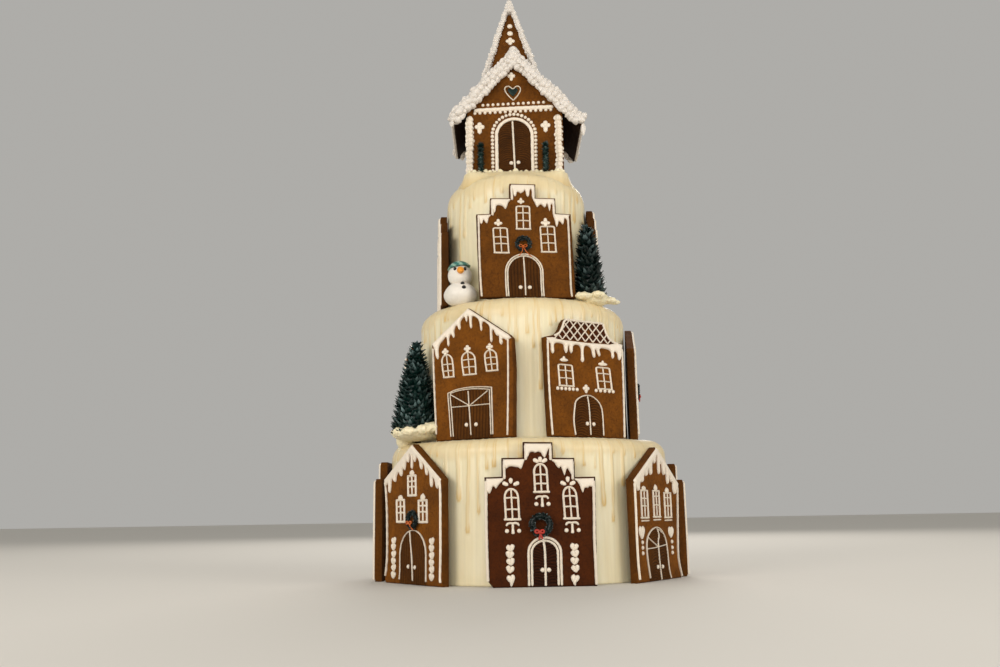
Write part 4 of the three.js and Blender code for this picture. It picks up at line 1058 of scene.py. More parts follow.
            (40.6, 88.4), (33, 88.8), (29, 88), (26, 87.2), (0, 86.6), (-26, 87), (-33, 87.4), (-38, 88.6),
            (-44.2, 87.8),
        ],
        "sides": [
            [(-43.6, 86), (-43.4, 50), (-42.4, 25), (-40.9, 1)],
            [(40, 84), (39.8, 50), (39.2, 25), (38.5, 1)],
        ],
        "side_line": 1.5,
        "edge": [
            (-42.4, 83), (-40.6, 82), (-40.2, 76), (-38.4, 73.4), (-36.8, 75.6), (-37, 81), (-35, 83.2),
            (-31, 83.6), (-26.6, 82.6), (-25.6, 78), (-23.8, 75), (-22.2, 77), (-21.6, 81.6),
            (-20.6, 81.8), (-20, 78), (-18.2, 75.2), (-16.6, 77.4), (-16, 81.6), (-13.4, 83.4),
            (-9.6, 83.2), (-7.6, 80.6), (-7.4, 73), (-7.8, 70), (-6, 67.9), (-4.2, 70), (-4.6, 76),
            (-4, 81), (-2, 83.4), (1.6, 83), (4.4, 80.4), (5.6, 75), (7.6, 72.9), (8.8, 75.2), (8.4, 80),
            (9.6, 81), (11.4, 77), (13.4, 74.6), (14.6, 76.6), (13.6, 81), (16, 82.6), (20, 82.4),
            (25, 81.6), (27.2, 79), (27.4, 76), (28.8, 73.8), (30.4, 75.8), (30.4, 80), (32.4, 80.4),
            (34.2, 78.6), (35, 75), (36.4, 72.8), (38, 74.6), (39.4, 77),
        ],
        "window_style": {"head": "round", "line": 1.5},
        "windows": [
            (-24.2, 45.3, 16.6, 19, 1.2, (0.36, 0.72)),
            (18.6, 44.8, 16.8, 19.8, 2, (0.35, 0.71)),
        ],
        "clouds": [(-26.3, 69.1, 8.9, 3.9), (17, 68.3, 10.5, 3.9)],
        "lobes": [(-2.9, 44.2, 7.4)],
        "dots": [
            *[(x, 42.7, 1.7) for x in (-33.9, -29.7, -25.4, -21.3, -17.2, -12.9)],
            *[(x, 43, 1.7) for x in (8.3, 13.3, 18.3, 23.3, 27.7)],
        ],
        "door": {
            "path": [
                (-16.3, 1.7), (-17.8, 14.4), (-16.4, 26.5), (-14.7, 32.2), (-9.1, 36.2), (-2.4, 37.9),
                (3.1, 37.2), (8.7, 33.9), (12.6, 28.9), (14.2, 21), (14.6, 2),
            ],
            "middle": [(-2.1, 37.2), (-0.6, 26.7), (0.3, 2.2)], "knobs": [(-3, 12.4), (4, 12.2)],
            "grain": "whorl", "line": 1.2,
        },
    },
}

# Houses round each tier: azimuth from the front towards +X, design, extra distance out, biscuit and
# height beside the design's
HOUSES = [
    ("bottom", "front", 2, "stepped_centre", 0, "dark_biscuit", 1),
    ("bottom", "front_left", -52.1, "gable_hearts", 0, "biscuit", 1),
    ("bottom", "front_right", 54.4, "gable_row", 0, "biscuit", 1),
    ("bottom", "left", -93.5, "stepped_side", 7.5, "biscuit", 1),
    ("bottom", "right", 95, "stepped_side", 3.5, "biscuit", 0.945),
    ("bottom", "back_left", -154, "gable_row", 0, "biscuit", 1),
    ("bottom", "back_right", 154, "gable_transom", 0, "biscuit", 1),
    ("middle", "front_left", -25.9, "gable_transom", 0, "biscuit", 1),
    ("middle", "front_right", 31, "mansard", 0, "biscuit", 1),
    ("middle", "right", 83.5, "gable_hearts", 0.5, "biscuit", 0.93),
    ("middle", "back_right", 140, "stepped_top", 0, "biscuit", 1),
    ("middle", "back_left", -152, "stepped_side", 0, "biscuit", 1),
    ("middle", "left", -100, "mansard", 0, "biscuit", 1),
    ("top", "front", 5.2, "stepped_top", 0, "church_biscuit", 1),
    ("top", "left", -84.5, "stepped_top", 0, "church_biscuit", 0.9),
    ("top", "right", 87.5, "stepped_top", 0, "church_biscuit", 0.935),
    ("top", "back", 180, "gable_hearts", 0, "church_biscuit", 1),
]

# Wreaths: the house each hangs on, its middle on the house and radius, and its bow's colour, middle,
# loops, tails and width
WREATHS = [
    ("bottom", "front", (-0.9, 50.1), 7.4, "red", (-2.3, 44.3), 3.7, [(-3.1, 37.9), (0.2, 38.4)], 1.8),
    ("bottom", "front_left", (6, 56), 6.4, "orange", (4, 53), 4, [(11, 47)], 1.1),
    ("middle", "right", (0.5, 52), 6.2, "red", (-1.2, 46.6), 3.6, [(-3, 42.6), (2, 42)], 1.3),
    ("top", "front", (-2.6, 52.2), 6, "orange", (-3.2, 49), 3.7, [(-7.2, 39.4), (5, 38.4)], 0.9),
]


def wall_frame(azimuth, distance, base, middle):
    """A frame standing on a round wall: x along the wall, y up and z outwards."""
    angle = math.radians(azimuth)
    c, s = math.cos(angle), math.sin(angle)
    rows = ((c, 0, s, middle + s * distance), (s, 0, -c, -c * distance), (0, 1, 0, base), (0, 0, 0, 1))
    return Matrix(rows)


def house_frame(tier, side):
    spec = tier_spec(tier)
    azimuth, out = next((house[2], house[4]) for house in HOUSES if house[:2] == (tier, side))
    lift = 0 if tier == "bottom" else GAP
    return wall_frame(azimuth, spec["radius"] + STAND_OFF + out, spec["base"] + lift, spec["x"])


def biscuit_outline(design):
    return [*design["right"], *design["roof"], *design["left"]]


def make_biscuit(node, design, finish, place, seed, spacing):
    """The baked house front, with its door's grain pressed in."""
    edge = 1.3
    outline = spaced(biscuit_outline(design), 3)
    outline = outline + 0.25 * np.stack([waver(outline, 9, seed), waver(outline, 9, seed + 5)], 1)
    outline[:, 1] = np.maximum(outline[:, 1], 0)

    def baked(points):
        """Darker towards the edge: partly the oven's browning, partly painted shade along the edge."""
        return 0.4 * np.exp(-((distance_to(points, outline) / 0.9) ** 2))

    form = Moulding()
    relief = uneven((0.2, 14, seed), (0.1, 4, seed + 3))
    # Painted shade darkens the biscuit's sides and underside
    pad(form, outline, 0, BISCUIT - edge, BISCUIT, edge, spacing, relief, baked, painted_under_shade=0.5)
    add_door_panel(form, design["door"], BISCUIT, seed, spacing * 0.3)
    slot = "dark_gingerbread" if finish == "dark_biscuit" else "gingerbread"
    form.make(f"biscuit_{node}", [finish], slot, node, place)


def add_door_panel(form, door, face, seed, spacing):
    """The door's panel, a little proud, with planks or curling grain pressed into it."""
    path = curved(door["path"])
    middle = (path[:, 0].min() + path[:, 0].max()) / 2
    depth = sizes("groove")
    foot, plank, curl = 0.6, 3.1, 2.3

    def grooves(points):
        """How deep the grain is pressed, from 0 to 1. It is drawn coarser than the real grain, to show."""
        x, y = points.T
        if door["grain"] == "planks":
            line = (x - middle + 0.5 * np.sin(y * 0.1 + seed)) / plank
            close = np.abs(line - np.round(line)) * plank
            fine = np.abs((line * 2.6) - np.round(line * 2.6)) * 1.2
            return np.maximum(np.exp(-((close / 0.55) ** 2)), 0.45 * np.exp(-((fine / 0.3) ** 2)))
        bend = 0.05 * (np.abs(x - middle) - 7) ** 2 + 2.4 * waver(points, 11, seed)
        wave = 0.5 + 0.5 * np.sin((y + bend) * 2 * math.pi / curl)
        return np.clip(wave * 1.3 - 0.3, 0, 1)

    def relief(points):
        return -depth * grooves(points)

    # The panel is darker all over, and darker still in its grooves, where the darkening is painted shade
    def tone(points):
        return 0.45 + 0.45 * grooves(points)

    panel = [(path[0, 0], foot), *path[:: max(1, len(path) // 40)], (path[-1, 0], foot)]
    levels = (face - 1, face + 0.1, face + depth + 0.15)
    # Painted shade darkens the panel's sides
    pad(form, panel, *levels, 0.6, spacing, relief, tone, 1.0, painted_under_shade=0.9)


def snow_edge(design, rng):
    """The snow's lower edge where a design leaves it open: even waves with drips between."""
    points = []
    roof = inset([(46, 50), *design["roof"], (-46, 50)], design["inset"])[::-1]
    reach = design["roof"][0][0] - 3
    for x in np.arange(-reach, reach, 3.1):
        under = min(float(np.interp(x + shift, *roof.T)) for shift in (-3.4, 0, 3.4))
        points.append((x, under - rng.choice((4.5, 6, 13, 16)) + rng.uniform(-1.5, 1.5)))
    return points


def pipe_snow(form, design, rng, base):
    """Snow along a roof's edge, hanging down in rounded drips."""
    roof = design["roof"]
    outer = inset([(roof[0][0], 40), *roof, (roof[-1][0], 40)], design["inset"])
    upper = design.get("band", outer)
    edge = design.get("edge") or snow_edge(design, rng)
    pad(form, [*upper, *curved(edge)], base - 0.4, base - 0.3, base + sizes("snow"), 1.9, 1.4, step=0.7)
    for (x0, y0), (x1, y1) in zip(outer, outer[1:]):
        if abs(x1 - x0) < 1 and abs(y1 - y0) > 8:
            inward = -0.9 if x0 > 0 else 0.9
            bead(form, [(x0 + inward, min(y0, y1) - 1), (x1 + inward, max(y0, y1) - 1)], 2.3, 1.7, base, x0)
    if "band" in design:
        pipe_lattice(form, outer, base)


def pipe_window(form, style, base, x, low, width, tall, lean, bars, cornice=1, over=None):
    """A window's frame, bars and sill, piped line by line."""
    over = over or style.get("sill", 0.4)
    line, rise = style["line"], sizes("rise")
    bar = line * 0.8
    half = width / 2 - line / 2

    def at(u, v):
        """A point by shares of the half-width and the height, leaning left towards the top."""
        bulge = 1 + style.get("bulge", 0) * math.sin(math.pi * v)
        return (x + u * half * bulge - lean * v, low + v * tall)

    if cornice < 1:
        lens = [at(side * 0.62, cornice + (1 - cornice) * 0.5) for side in (-1, 1)]
        bead(form, lens, (1 - cornice) * tall * 1.2, rise, base, x + 5, [0.5, 0.95, 1.15, 0.95, 0.5])
        for side in (-1, 1):
            jamb = [at(side, 0), at(side * 1.02, cornice / 2), at(side, cornice)]
            bead(form, jamb, line, rise, base, side + x)
        bead(form, [at(-1.2, cornice), at(1.2, cornice)], line, rise, base, x + 3)
    else:
        spring, square = (0.72, 1) if style["head"] == "arch" else (1 - 2.6 / tall, 0.32)
        head = []
        for turn in np.linspace(math.pi, 0, 13):
            across = math.copysign(abs(math.cos(turn)) ** square, math.cos(turn))
            head.append(at(across, spring + (1 - spring) * math.sin(turn) ** square))
        bead(form, curved([at(-1, 0), at(-1, 0.4), *head, at(1, 0.4), at(1, 0)], 0.5), line, rise, base, x)
    sill = [(x - half - line / 2 - over, low), (x + half + line / 2 + over, low)]
    bead(form, sill, line * 1.1, rise, base, x + 2)
    if "double" in style:
        under = low - style["double"]
        bead(form, [(x - half - over, under), (x + half + over, under + 0.2)], line * 0.9, rise, base, x + 4)
    bead(form, [at(0, 0.03), at(0, cornice - 0.02)], bar, rise * 0.85, base, x + 1)
    for share in bars:
        across = [at(-0.95, share), at(0, share + 0.015), at(0.95, share)]
        bead(form, across, bar, rise * 0.85, base, x + share)


def pipe_tears(form, x, y, spread, lift, base):
    """Three teardrops fanned above a window, their tails meeting below."""
    for side in (-1, 0, 1):
        rise = 0 if side else lift
        turn = math.atan2(-2.4 - rise, -side * spread)
        dome(form, x + side * spread, y + rise, 1.75, 1.3, base, turn, 1.3 if side else 0.9)


def pipe_fleur(form, x, y, size, base):
    """A fleur of three pointed petals over a drop."""
    dome(form, x, y + size * 0.66, size * 0.24, 1.4, base, math.pi / 2, 0.5)
    for side in (-1, 1):
        dome(form, x + side * size * 0.3, y + size * 0.36, size * 0.22, 1.3, base, math.atan2(0.2, side), 0.3)
    dome(form, x, y + size * 0.26, size * 0.24, 1.2, base, -math.pi / 2, 0.4)


def pipe_lobes(form, x, y, size, base, tail=0.5):
    """Four lobes in a cross, the lowest drawn out."""
    reach = size * 0.27
    for k, drawn in enumerate((0, 0, 0, tail)):
        angle = k * math.pi / 2
        spot = (x + reach * math.cos(angle), y + reach * math.sin(angle))
        dome(form, *spot, size * 0.23, 1.4, base, angle, drawn)
    dome(form, x, y, size * 0.2, 1.5, base)


def pipe_cloud(form, x, y, width, tall, base):
    """A flat lens with a small peak."""
    path = [(x - width / 2, y - tall * 0.15), (x, y - tall * 0.05), (x + width / 2, y - tall * 0.15)]
    bead(form, path, tall * 0.8, 1.3, base, x, [0.5, 0.95, 1.1, 0.95, 0.5])
    dome(form, x, y + tall * 0.3, tall * 0.34, 1.2, base, math.pi / 2, 0.5)


def pipe_heart(form, x, y, width, tall, tilt, base, tail=0.0):
    """A heart of two strokes that start fat and meet at its point."""
    c, s = math.cos(tilt), math.sin(tilt)
    for side in (-1, 1):
        path = [(side * 0.25 * width, 0.5 * tall), (side * 0.19 * width, 0), (0, -0.5 * tall)]
        path = [(x + u * c - v * s, y + u * s + v * c) for u, v in path]
        if tail:
            path.append((x, y - tall * 0.5 - tail))
        bead(form, curved(path, 0.4), width * 0.5, 1.5, base, side + y, [0.85, 1.1, 1.0, 0.65, 0.35])


def pipe_dot(form, x, y, radius, base):
    dome(form, x, y, radius, 1.4, base)


def pipe_scroll(form, x, y, base):
    """A small bracket under a window: a curled bar on a stem between two dots."""
    rise = sizes("rise")
    bar = [(-5.2, -2.4), (-4.4, -0.5), (-2, 0.1), (0, -0.3), (2, 0.1), (4.4, -0.5), (5.2, -2.4)]
    bead(form, curved([(x + u, y + v) for u, v in bar]), 1.9, rise, base, x)
    bead(form, [(x, y - 0.5), (x + 0.2, y - 9)], 2.4, rise, base, x, [0.7, 0.9, 1.25])
    for side in (-1, 1):
        dome(form, x + side * 5.1 + 0.2, y - 6.3, 1.8, 1.4, base)


def pipe_door(form, door, base):
    """The lines round a door, its middle line, bars and knobs."""
    line, rise = door.get("line", sizes("line")), sizes("rise")
    path = curved(door["path"])
    ahead = np.gradient(path, axis=0)
    side = np.stack([-ahead[:, 1], ahead[:, 0]], 1) / np.hypot(*ahead.T)[:, None]
    half = door.get("double", 0) / 2
    for shift in (-half, half) if half else (0,):
        bead(form, path + side * shift, line, rise, base, shift)
    bead(form, curved(door["middle"]), line, rise, base, 1.3)
    for bar in door.get("bars", []):
        bead(form, curved(bar), line * 0.95, rise * 0.95, base, 0.7)
    for x, y in door["knobs"]:
        dome(form, x, y, 1.95, 1.7, base)


def pipe_lattice(form, outer, base):
    """Crossed lines over a mansard's tiles, and the line round them."""
    low, top = 87.4, float(outer[:, 1].max())
    tiles = np.array([(outer[0, 0] - 2, low), *outer, (outer[-1, 0] + 2, low)])
    slant, pitch = 0.92, 8.5
    heights = np.linspace(low, top, 24)
    pad(form, tiles, base - 0.4, base - 0.3, base + 0.1, 0.4, 3, step=2, finish=1)
    for lean in (-1, 1):
        for k in range(-12, 12):
            line = np.stack([k * pitch - 2 + lean * slant * (heights - low), heights], 1)
            line = line[is_inside(line, tiles)]
            if len(line) > 4 and np.ptp(line[:, 1]) < len(line) * (top - low) / 22:
                bead(form, line, 1.2, 1.1, base, k)
    for part in (outer[1:7], outer[6:8], outer[7:12]):
        bead(form, curved(part) if len(part) > 2 else part, 2.0, 1.4, base)


# What is piped under the snow, by its name in a design
MOTIFS = {
    "tears": pipe_tears, "fleurs": pipe_fleur, "lobes": pipe_lobes, "clouds": pipe_cloud,
    "scrolls": pipe_scroll, "dots": pipe_dot,
}


def make_piping(node, design, place, seed):
    """Everything piped on one house front."""
    rng = random.Random(seed)
    form = Moulding()
    base = BISCUIT + CLEAR
    edge = design["roof"][0][0] - 1.6
    plain = [[(side * edge, 92), (side * edge, 45), (side * (edge - 1), 1.4)] for side in (-1, 1)]
    for side in design.get("sides", plain):
        bead(form, curved(side), design.get("side_line", 2), 1.8, base, seed + side[0][0])
    pipe_snow(form, design, rng, base)
    for window in design["windows"]:
        pipe_window(form, design["window_style"], base, *window)
    for name, pipe in MOTIFS.items():
        for spot in design.get(name, []):
            pipe(form, *spot, base)
    for x, y, width, tall in design.get("big_hearts", []):
        pipe_heart(form, x, y, width, tall, 0, base)
    for k, (x, y, width, tail) in enumerate(design.get("hearts", [])):
        tilt = 0.16 * (-1) ** k + rng.uniform(-0.06, 0.06)
        pipe_heart(form, x + 0.3 * (-1) ** k, y, width, width * 0.86, tilt, base, tail)
    pipe_door(form, design["door"], base + 0.1)
    form.make(f"piping_{node}", ["royal", "dark_biscuit"], "white_icing", node, place)


def make_wreath(tier, side, middle, radius, bow, bow_at, loop, tails, width):
    """A ring of piped leaves with a fondant bow at its foot."""
    rng = random.Random(tier + side)
    place = house_frame(tier, side)
    node = f"wreath_{tier}_{side}"
    tube = radius * 0.4
    lift = BISCUIT + tube + 0.4
    x0, y0 = middle
    columns, sides = 36, 8
    ring = []
    for turn in ring_angles(columns):
        for around in ring_angles(sides):
            out = radius + tube * 0.7 * math.cos(around)
            high = lift + tube * 0.7 * math.sin(around)
            ring.append((x0 + out * math.cos(turn), y0 + out * math.sin(turn), high))
    form = Moulding()
    form.add(ring, flipped([grid_faces(columns + 1, sides) % (columns * sides)]))
    for _ in range(260):
        turn = rng.uniform(0, 2 * math.pi)
        around = rng.uniform(-0.5, math.pi + 0.5)
        c, s = math.cos(turn), math.sin(turn)
        normal = Vector((c * math.cos(around), s * math.cos(around), math.sin(around)))
        root = Vector((x0 + radius * c, y0 + radius * s, lift)) + normal * tube * 0.4
        sweep = Vector((-s, c, 0)) * rng.uniform(-0.9, 0.9)
        # Now and then a leaf tip gets a painted highlight
        leaf(form, root, normal + sweep, tube * rng.uniform(0.6, 0.85), rng.random() ** 7 * 0.7)
    form.make(f"leaves_{node}", ["dark_leaf"], "leaf_green_icing", node, place)
    ribbon = Moulding()
    top = lift + tube * 0.8
    foot_x, foot_y = bow_at
    shape = [(0, 0), (0.45, 0.42), (0.95, 0.38), (1.0, 0.0), (0.6, -0.22), (0, 0)]
    for mirror in (-1, 1):
        turned = [(foot_x + mirror * loop * u, foot_y + loop * v) for u, v in shape]
        bead(ribbon, curved(turned, 0.5), width, 1.0, top, mirror)
    for x, y in tails:
        tail = [(foot_x, foot_y), ((foot_x * 2 + x) / 3 + 0.4, (foot_y + y) / 2), (x, y)]
        bead(ribbon, curved(tail, 0.5), width * 0.9, 0.9, top - 0.3, x)
    dome(ribbon, foot_x, foot_y, width, 1.6, top)
    ribbon.make(f"bow_{node}", [bow], None, node, place)


# Church


def church_base():
    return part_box("church_front_wall")[0].z / MM


def church_middle():
    """The ridge's place along x, a little to the right of the front wall's middle."""
    low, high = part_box("church_front_wall")
    return (low.x + high.x) / 2 / MM + 1.8


def gable_outline(half, eaves, rise):
    return [(-half, 0), (half, 0), (half, eaves), (0, eaves + rise), (-half, eaves)]


def make_wall(name, outline, place, seed, door=None):
    """One of the church's gingerbread walls."""
    form = Moulding()
    relief = uneven((0.18, 13, seed), (0.1, 4, seed + 3))
    # Painted shade darkens the wall's sides and underside
    pad(form, outline, 0, WALL - 0.8, WALL, 0.8, 2.6, relief, painted_under_shade=0.7)
    if door:
        add_door_panel(form, door, WALL, seed, 0.8)
    form.make(f"biscuit_{name}", ["church_biscuit"], "gingerbread", name, place)


def corner_shells(form, rng, base, corners):
    """Ropes of shells up both corners of a gable wall."""
    for x in corners:
        shell_row(form, (x, 1, base), (x, 65, base), 4.2, rng, overlap=1.12, jitter=0.12)


CHURCH_DOOR = {
    "path": arch_path(-17.6, 15.9, 61), "middle": [(-2.5, 60), (-0.8, 3.3)],
    "knobs": [(-4.5, 14.5), (2.8, 15)], "grain": "whorl",
}


def pipe_band(form, left, right, base):
    """A line across a gable wall with a row of dots above and below it."""
    bead(form, [(-42, left), (0, (left + right) / 2 + 0.3), (40, right)], 4.4, 1.8, base, 3)
    for first, last, shift in ((-32.5, 34, 5.5), (-40.8, 38, -3.1)):
        for x in np.arange(first, last, 5.2):
            dome(form, x, np.interp(x, (-42, 40), (left, right)) + shift, 1.65, 1.6, base)


def pipe_church_front(form, rng):
    """The arch and dots round the door, the band, a heart filled with green, lobes and ropes of shells."""
    base = WALL + CLEAR
    bead(form, curved(arch_path(-19, 17.3, 62.4)), 3.6, 1.7, base, 1)
    path = curved(arch_path(-23.2, 20.8, 67.5), 0.5)
    steps = np.concatenate([[0], np.cumsum(np.hypot(*np.diff(path, axis=0).T))])
    for at in np.arange(1.5, steps[-1] - 1, 4.1):
        x, y = np.interp(at, steps, path[:, 0]), np.interp(at, steps, path[:, 1])
        dome(form, x, y, 1.8 * rng.uniform(0.92, 1.08), 1.7, base)
    bead(form, CHURCH_DOOR["middle"], 2.0, 1.4, base + 0.3, 2)
    for x, y in CHURCH_DOOR["knobs"]:
        dome(form, x, y, 2.1, 1.9, base)
    pipe_band(form, 72.2, 75.2, base)
    outline = [
        (-1.3, 82.8), (3.6, 88.5), (6.5, 94.4), (5.2, 98), (2, 98.4), (-1.5, 95.6), (-5.2, 98.4), (-8.5, 98),
        (-9.8, 95), (-6.8, 89), (-1.3, 82.8),
    ]
    bead(form, curved(outline, 0.6), 1.2, 1.3, base, 4)
    fill = [(-1.5 + (x + 1.5) * 0.68, 93 + (y - 92.6) * 0.62) for x, y in outline[:-1]]
    pad(form, fill, base - 0.3, base - 0.2, base + 1.0, 1.0, 1.2, step=1.0, finish=1)
    pipe_lobes(form, -2.8, 110.2, 8.6, base, 0.7)
    pipe_lobes(form, -36.2, 54.2, 10.3, base, 1.2)
    pipe_lobes(form, 31.2, 55, 10.3, base, 1.2)
    corner_shells(form, rng, base - 0.6, (-46.2, 44.3))


def pipe_church_back(form, rng):
    base = WALL + CLEAR
    style = {"head": "arch", "line": 2.2, "sill": 1.5}
    pipe_window(form, style, base, 0, 22, 24, 40, 0, (0.34, 0.67))
    pipe_band(form, 74, 74, base)
    pipe_heart(form, 0, 93, 15, 14, 0, base)
    corner_shells(form, rng, base - 0.6, (-45.6, 45.6))


def make_church():
    rng = random.Random(41)
    base, middle = church_base(), church_middle()
    half, depth, eaves = CHURCH["half"], CHURCH["depth"], CHURCH["eaves"]
    gable = gable_outline(half, eaves, half * math.tan(CHURCH["pitch"]))
    front = wall_frame(0, depth / 2 - WALL, base, middle)
    back = wall_frame(180, depth / 2 - WALL, base, middle)
    make_wall("church_front_wall", gable, front, 1, CHURCH_DOOR)
    make_wall("church_back_wall", gable, back, 2)
    for name, pipe, place in (
        ("church_front_wall", pipe_church_front, front),
        ("church_back_wall", pipe_church_back, back),
    ):
        form = Moulding()
        pipe(form, rng)
        form.make(f"piping_{name}", ["royal", "leaf"], "white_icing", name, place)
    side_half = depth / 2 - WALL
    flat = [(-side_half, 0), (side_half, 0), (side_half, eaves), (-side_half, eaves)]
    for side, azimuth in (("left", -90), ("right", 90)):
        place = wall_frame(azimuth, half - WALL, base, middle)
        make_wall(f"church_{side}_wall", flat, place, 5 + azimuth)
        form = Moulding()
        for x in (-17, 17):
            style = {"head": "arch", "line": 1.9}
            pipe_window(form, style, WALL + CLEAR, x, 24, 15, 28, 0, (0.34, 0.67))
        form.make(f"piping_church_{side}_wall", ["royal"], "white_icing", f"church_{side}_wall", place)
        make_roof(side, rng)


def roof_frame(side):
    """A roof panel's frame, from under the ridge: x along the ridge, y down the slope and z out of it."""
    sign = 1 if side == "right" else -1
    pitch = CHURCH["pitch"]
    top = church_base() + CHURCH["eaves"] + CHURCH["half"] * math.tan(pitch) + GAP * 1.5
    down = Vector((sign * math.cos(pitch), 0, -math.sin(pitch)))
    out = Vector((sign * math.sin(pitch), 0, math.cos(pitch)))
    along = down.cross(out)
    rows = [(along[i], down[i], out[i], (church_middle(), 0, top)[i]) for i in range(3)]
    return Matrix((*rows, (0, 0, 0, 1)))


def make_roof(side, rng):
    """One roof panel with snow along its gable edges, ridge and eaves, and rows of scalloped tiles."""
    place = roof_frame(side)
    name = f"church_roof_{side}"
    slope = (CHURCH[side] - 3) / math.cos(CHURCH["pitch"])
    half = CHURCH["depth"] / 2 + ROOF["front"]
    thick = ROOF["thick"]
    panel = [(-half, -5.6), (half, -5.6), (half, slope), (-half, slope)]
    slab = Moulding()
    # Painted shade darkens the roof's underside and sides, as dark as the tone goes
    pad(slab, panel, 0, thick - 0.8, thick, 0.8, 3.2, uneven((0.2, 12, 8)), painted_under_shade=1.0)
    slab.make(f"biscuit_{name}", ["church_biscuit"], "gingerbread", name, place)
    snow = Moulding()
    scallop = 9.2
    for share in (0.3, 0.55, 0.8):
        edge = [
            (x, slope * share + 1.6 * abs(math.sin(x * math.pi / scallop)))
            for x in np.arange(-half + 7, half - 6.9, 1.15)
        ]
        bead(snow, edge, 2.4, 1.5, thick + CLEAR, share)
    # Rows of dabs: how far in from the gable, how far off the underside, and their size
    rows = ((2.6, 4, 6.2), (-0.4, 0, 4), (-1.4, 5, 4.6), (1, 9, 4), (6.2, 8, 4.2), (10, 6.4, 3.2))
    for end in (-1, 1):
        for inward, off, size in rows:
            y = -3 - off * 0.9
            while y < slope - 2:
                x = end * (half - inward) + rng.uniform(-0.7, 0.7)
                blob(snow, (x, y, off + rng.uniform(-0.9, 0.9)), size * rng.uniform(0.82, 1.12), rng)
                y += size * rng.uniform(1.1, 1.35)
        if side == "left":
            blob(snow, (end * (half + 1.4), -7.4, 7.4), 3.9, rng)
    x, fall = (-half - 1, 7) if side == "left" else (half + 1, 13)
    drip = Vector((x, slope + 0.8, 3))
    shell(snow, drip, drip + Vector((0, 0.73, -0.68)) * fall, 2.3, up=(1, 0, 0))
    shell_row(snow, (-half, slope + 0.4, thick / 2), (half, slope + 0.4, thick / 2), 1.9, rng)
    snow.make(f"snow_{name}", ["snow"], "white_icing", name, place)


def steeple_frame(turn):
    """A leaning face of the steeple: x across, y up the face from its foot, z outwards, from its tip."""
    slope = STEEPLE["slope"]
    up = Vector((0, slope, 1)).normalized()
    out = Vector((0, -1, slope)).normalized()
    rows = [((1, 0, 0)[i], up[i], out[i], 0) for i in range(3)]
    face = Matrix((*rows, (0, 0, 0, 1)))
    spot = Matrix.Translation((STEEPLE["x"], STEEPLE["y"], STEEPLE["tip"]))
    return spot @ Matrix.Rotation(math.radians(turn), 4, "Z") @ face


def make_steeple():
    """Four leaning biscuit panels edged with blobs of icing, and a piped finial."""
    rng = random.Random(7)
    slope, tip, x, y = (STEEPLE[key] for key in ("slope", "tip", "x", "y"))
    stretch = math.hypot(1, slope)
    pitch = math.tan(CHURCH["pitch"])
    peak = church_base() + CHURCH["eaves"] + (CHURCH["half"] + 0.2) * pitch + 9
    cut, notch = STEEPLE["cut"], tip - peak + 4
    foot = (tip - peak) / (1 - slope * pitch) + 3

    def across(down):
        return slope * down - 0.4

    for side, turn in (("front", 0), ("right", 90), ("back", 180), ("left", 270)):
        place = steeple_frame(turn)
        node = f"steeple_{side}"
        corners = [(across(cut), cut), (-across(cut), cut), (-across(foot), foot), (across(foot), foot)]
        if side in ("front", "back"):
            corners.insert(3, (0, notch))
        outline = [(over, -down * stretch) for over, down in corners]
        form = Moulding()
        pad(form, outline, -STEEPLE["wall"] + 1, -0.6, 0, 0.6, 2.4, uneven((0.15, 9, 3)))
        form.make(f"biscuit_{node}", ["church_biscuit"], "gingerbread", node, place)
        if side in ("front", "back"):
            blobs = Moulding()
            for down, size in ((24.1, 6), (34.3, 6.4)):
                dome(blobs, 0.2, -down * stretch, size / 2, 2.0, 0)
            pipe_lobes(blobs, 0.2, -44.9 * stretch, 10, 0, 0.3)
            blobs.make(f"piping_{node}", ["royal"], "white_icing", node, place)
    narrow = across(5) + 3.2
    for side, end in (("front", -1), ("back", 1)):
        form = Moulding()
        for hand in (-1, 1):
            low = Vector((x + hand * across(foot), y + end * across(foot), tip - foot))
            high = Vector((x + hand * narrow, y + end * narrow, tip - 5))
            out = Vector((hand, end, 0.3)).normalized()
            shell_row(form, low, high, 3.9, rng, overlap=1.05, jitter=0.16, last=2.7, up=out)
        form.make(f"snow_steeple_{side}", ["snow"], "white_icing", f"steeple_{side}")
    form = Moulding()
    # Blobs of the finial: foot beside the tip, size and height
    for low, size, tall in ((-5, 6.2, 7), (-1, 5.4, 7), (3, 4.3, 6), (7, 3, 5)):
        low += tip
        shell(form, (x, y, low - 1), (x, y, low + tall), size, ridges=6, sides=18, up=(1, 0, 0))
    form.make("finial_blobs", ["snow"], "white_icing", "steeple_finial")


# Trees, snow and snowman


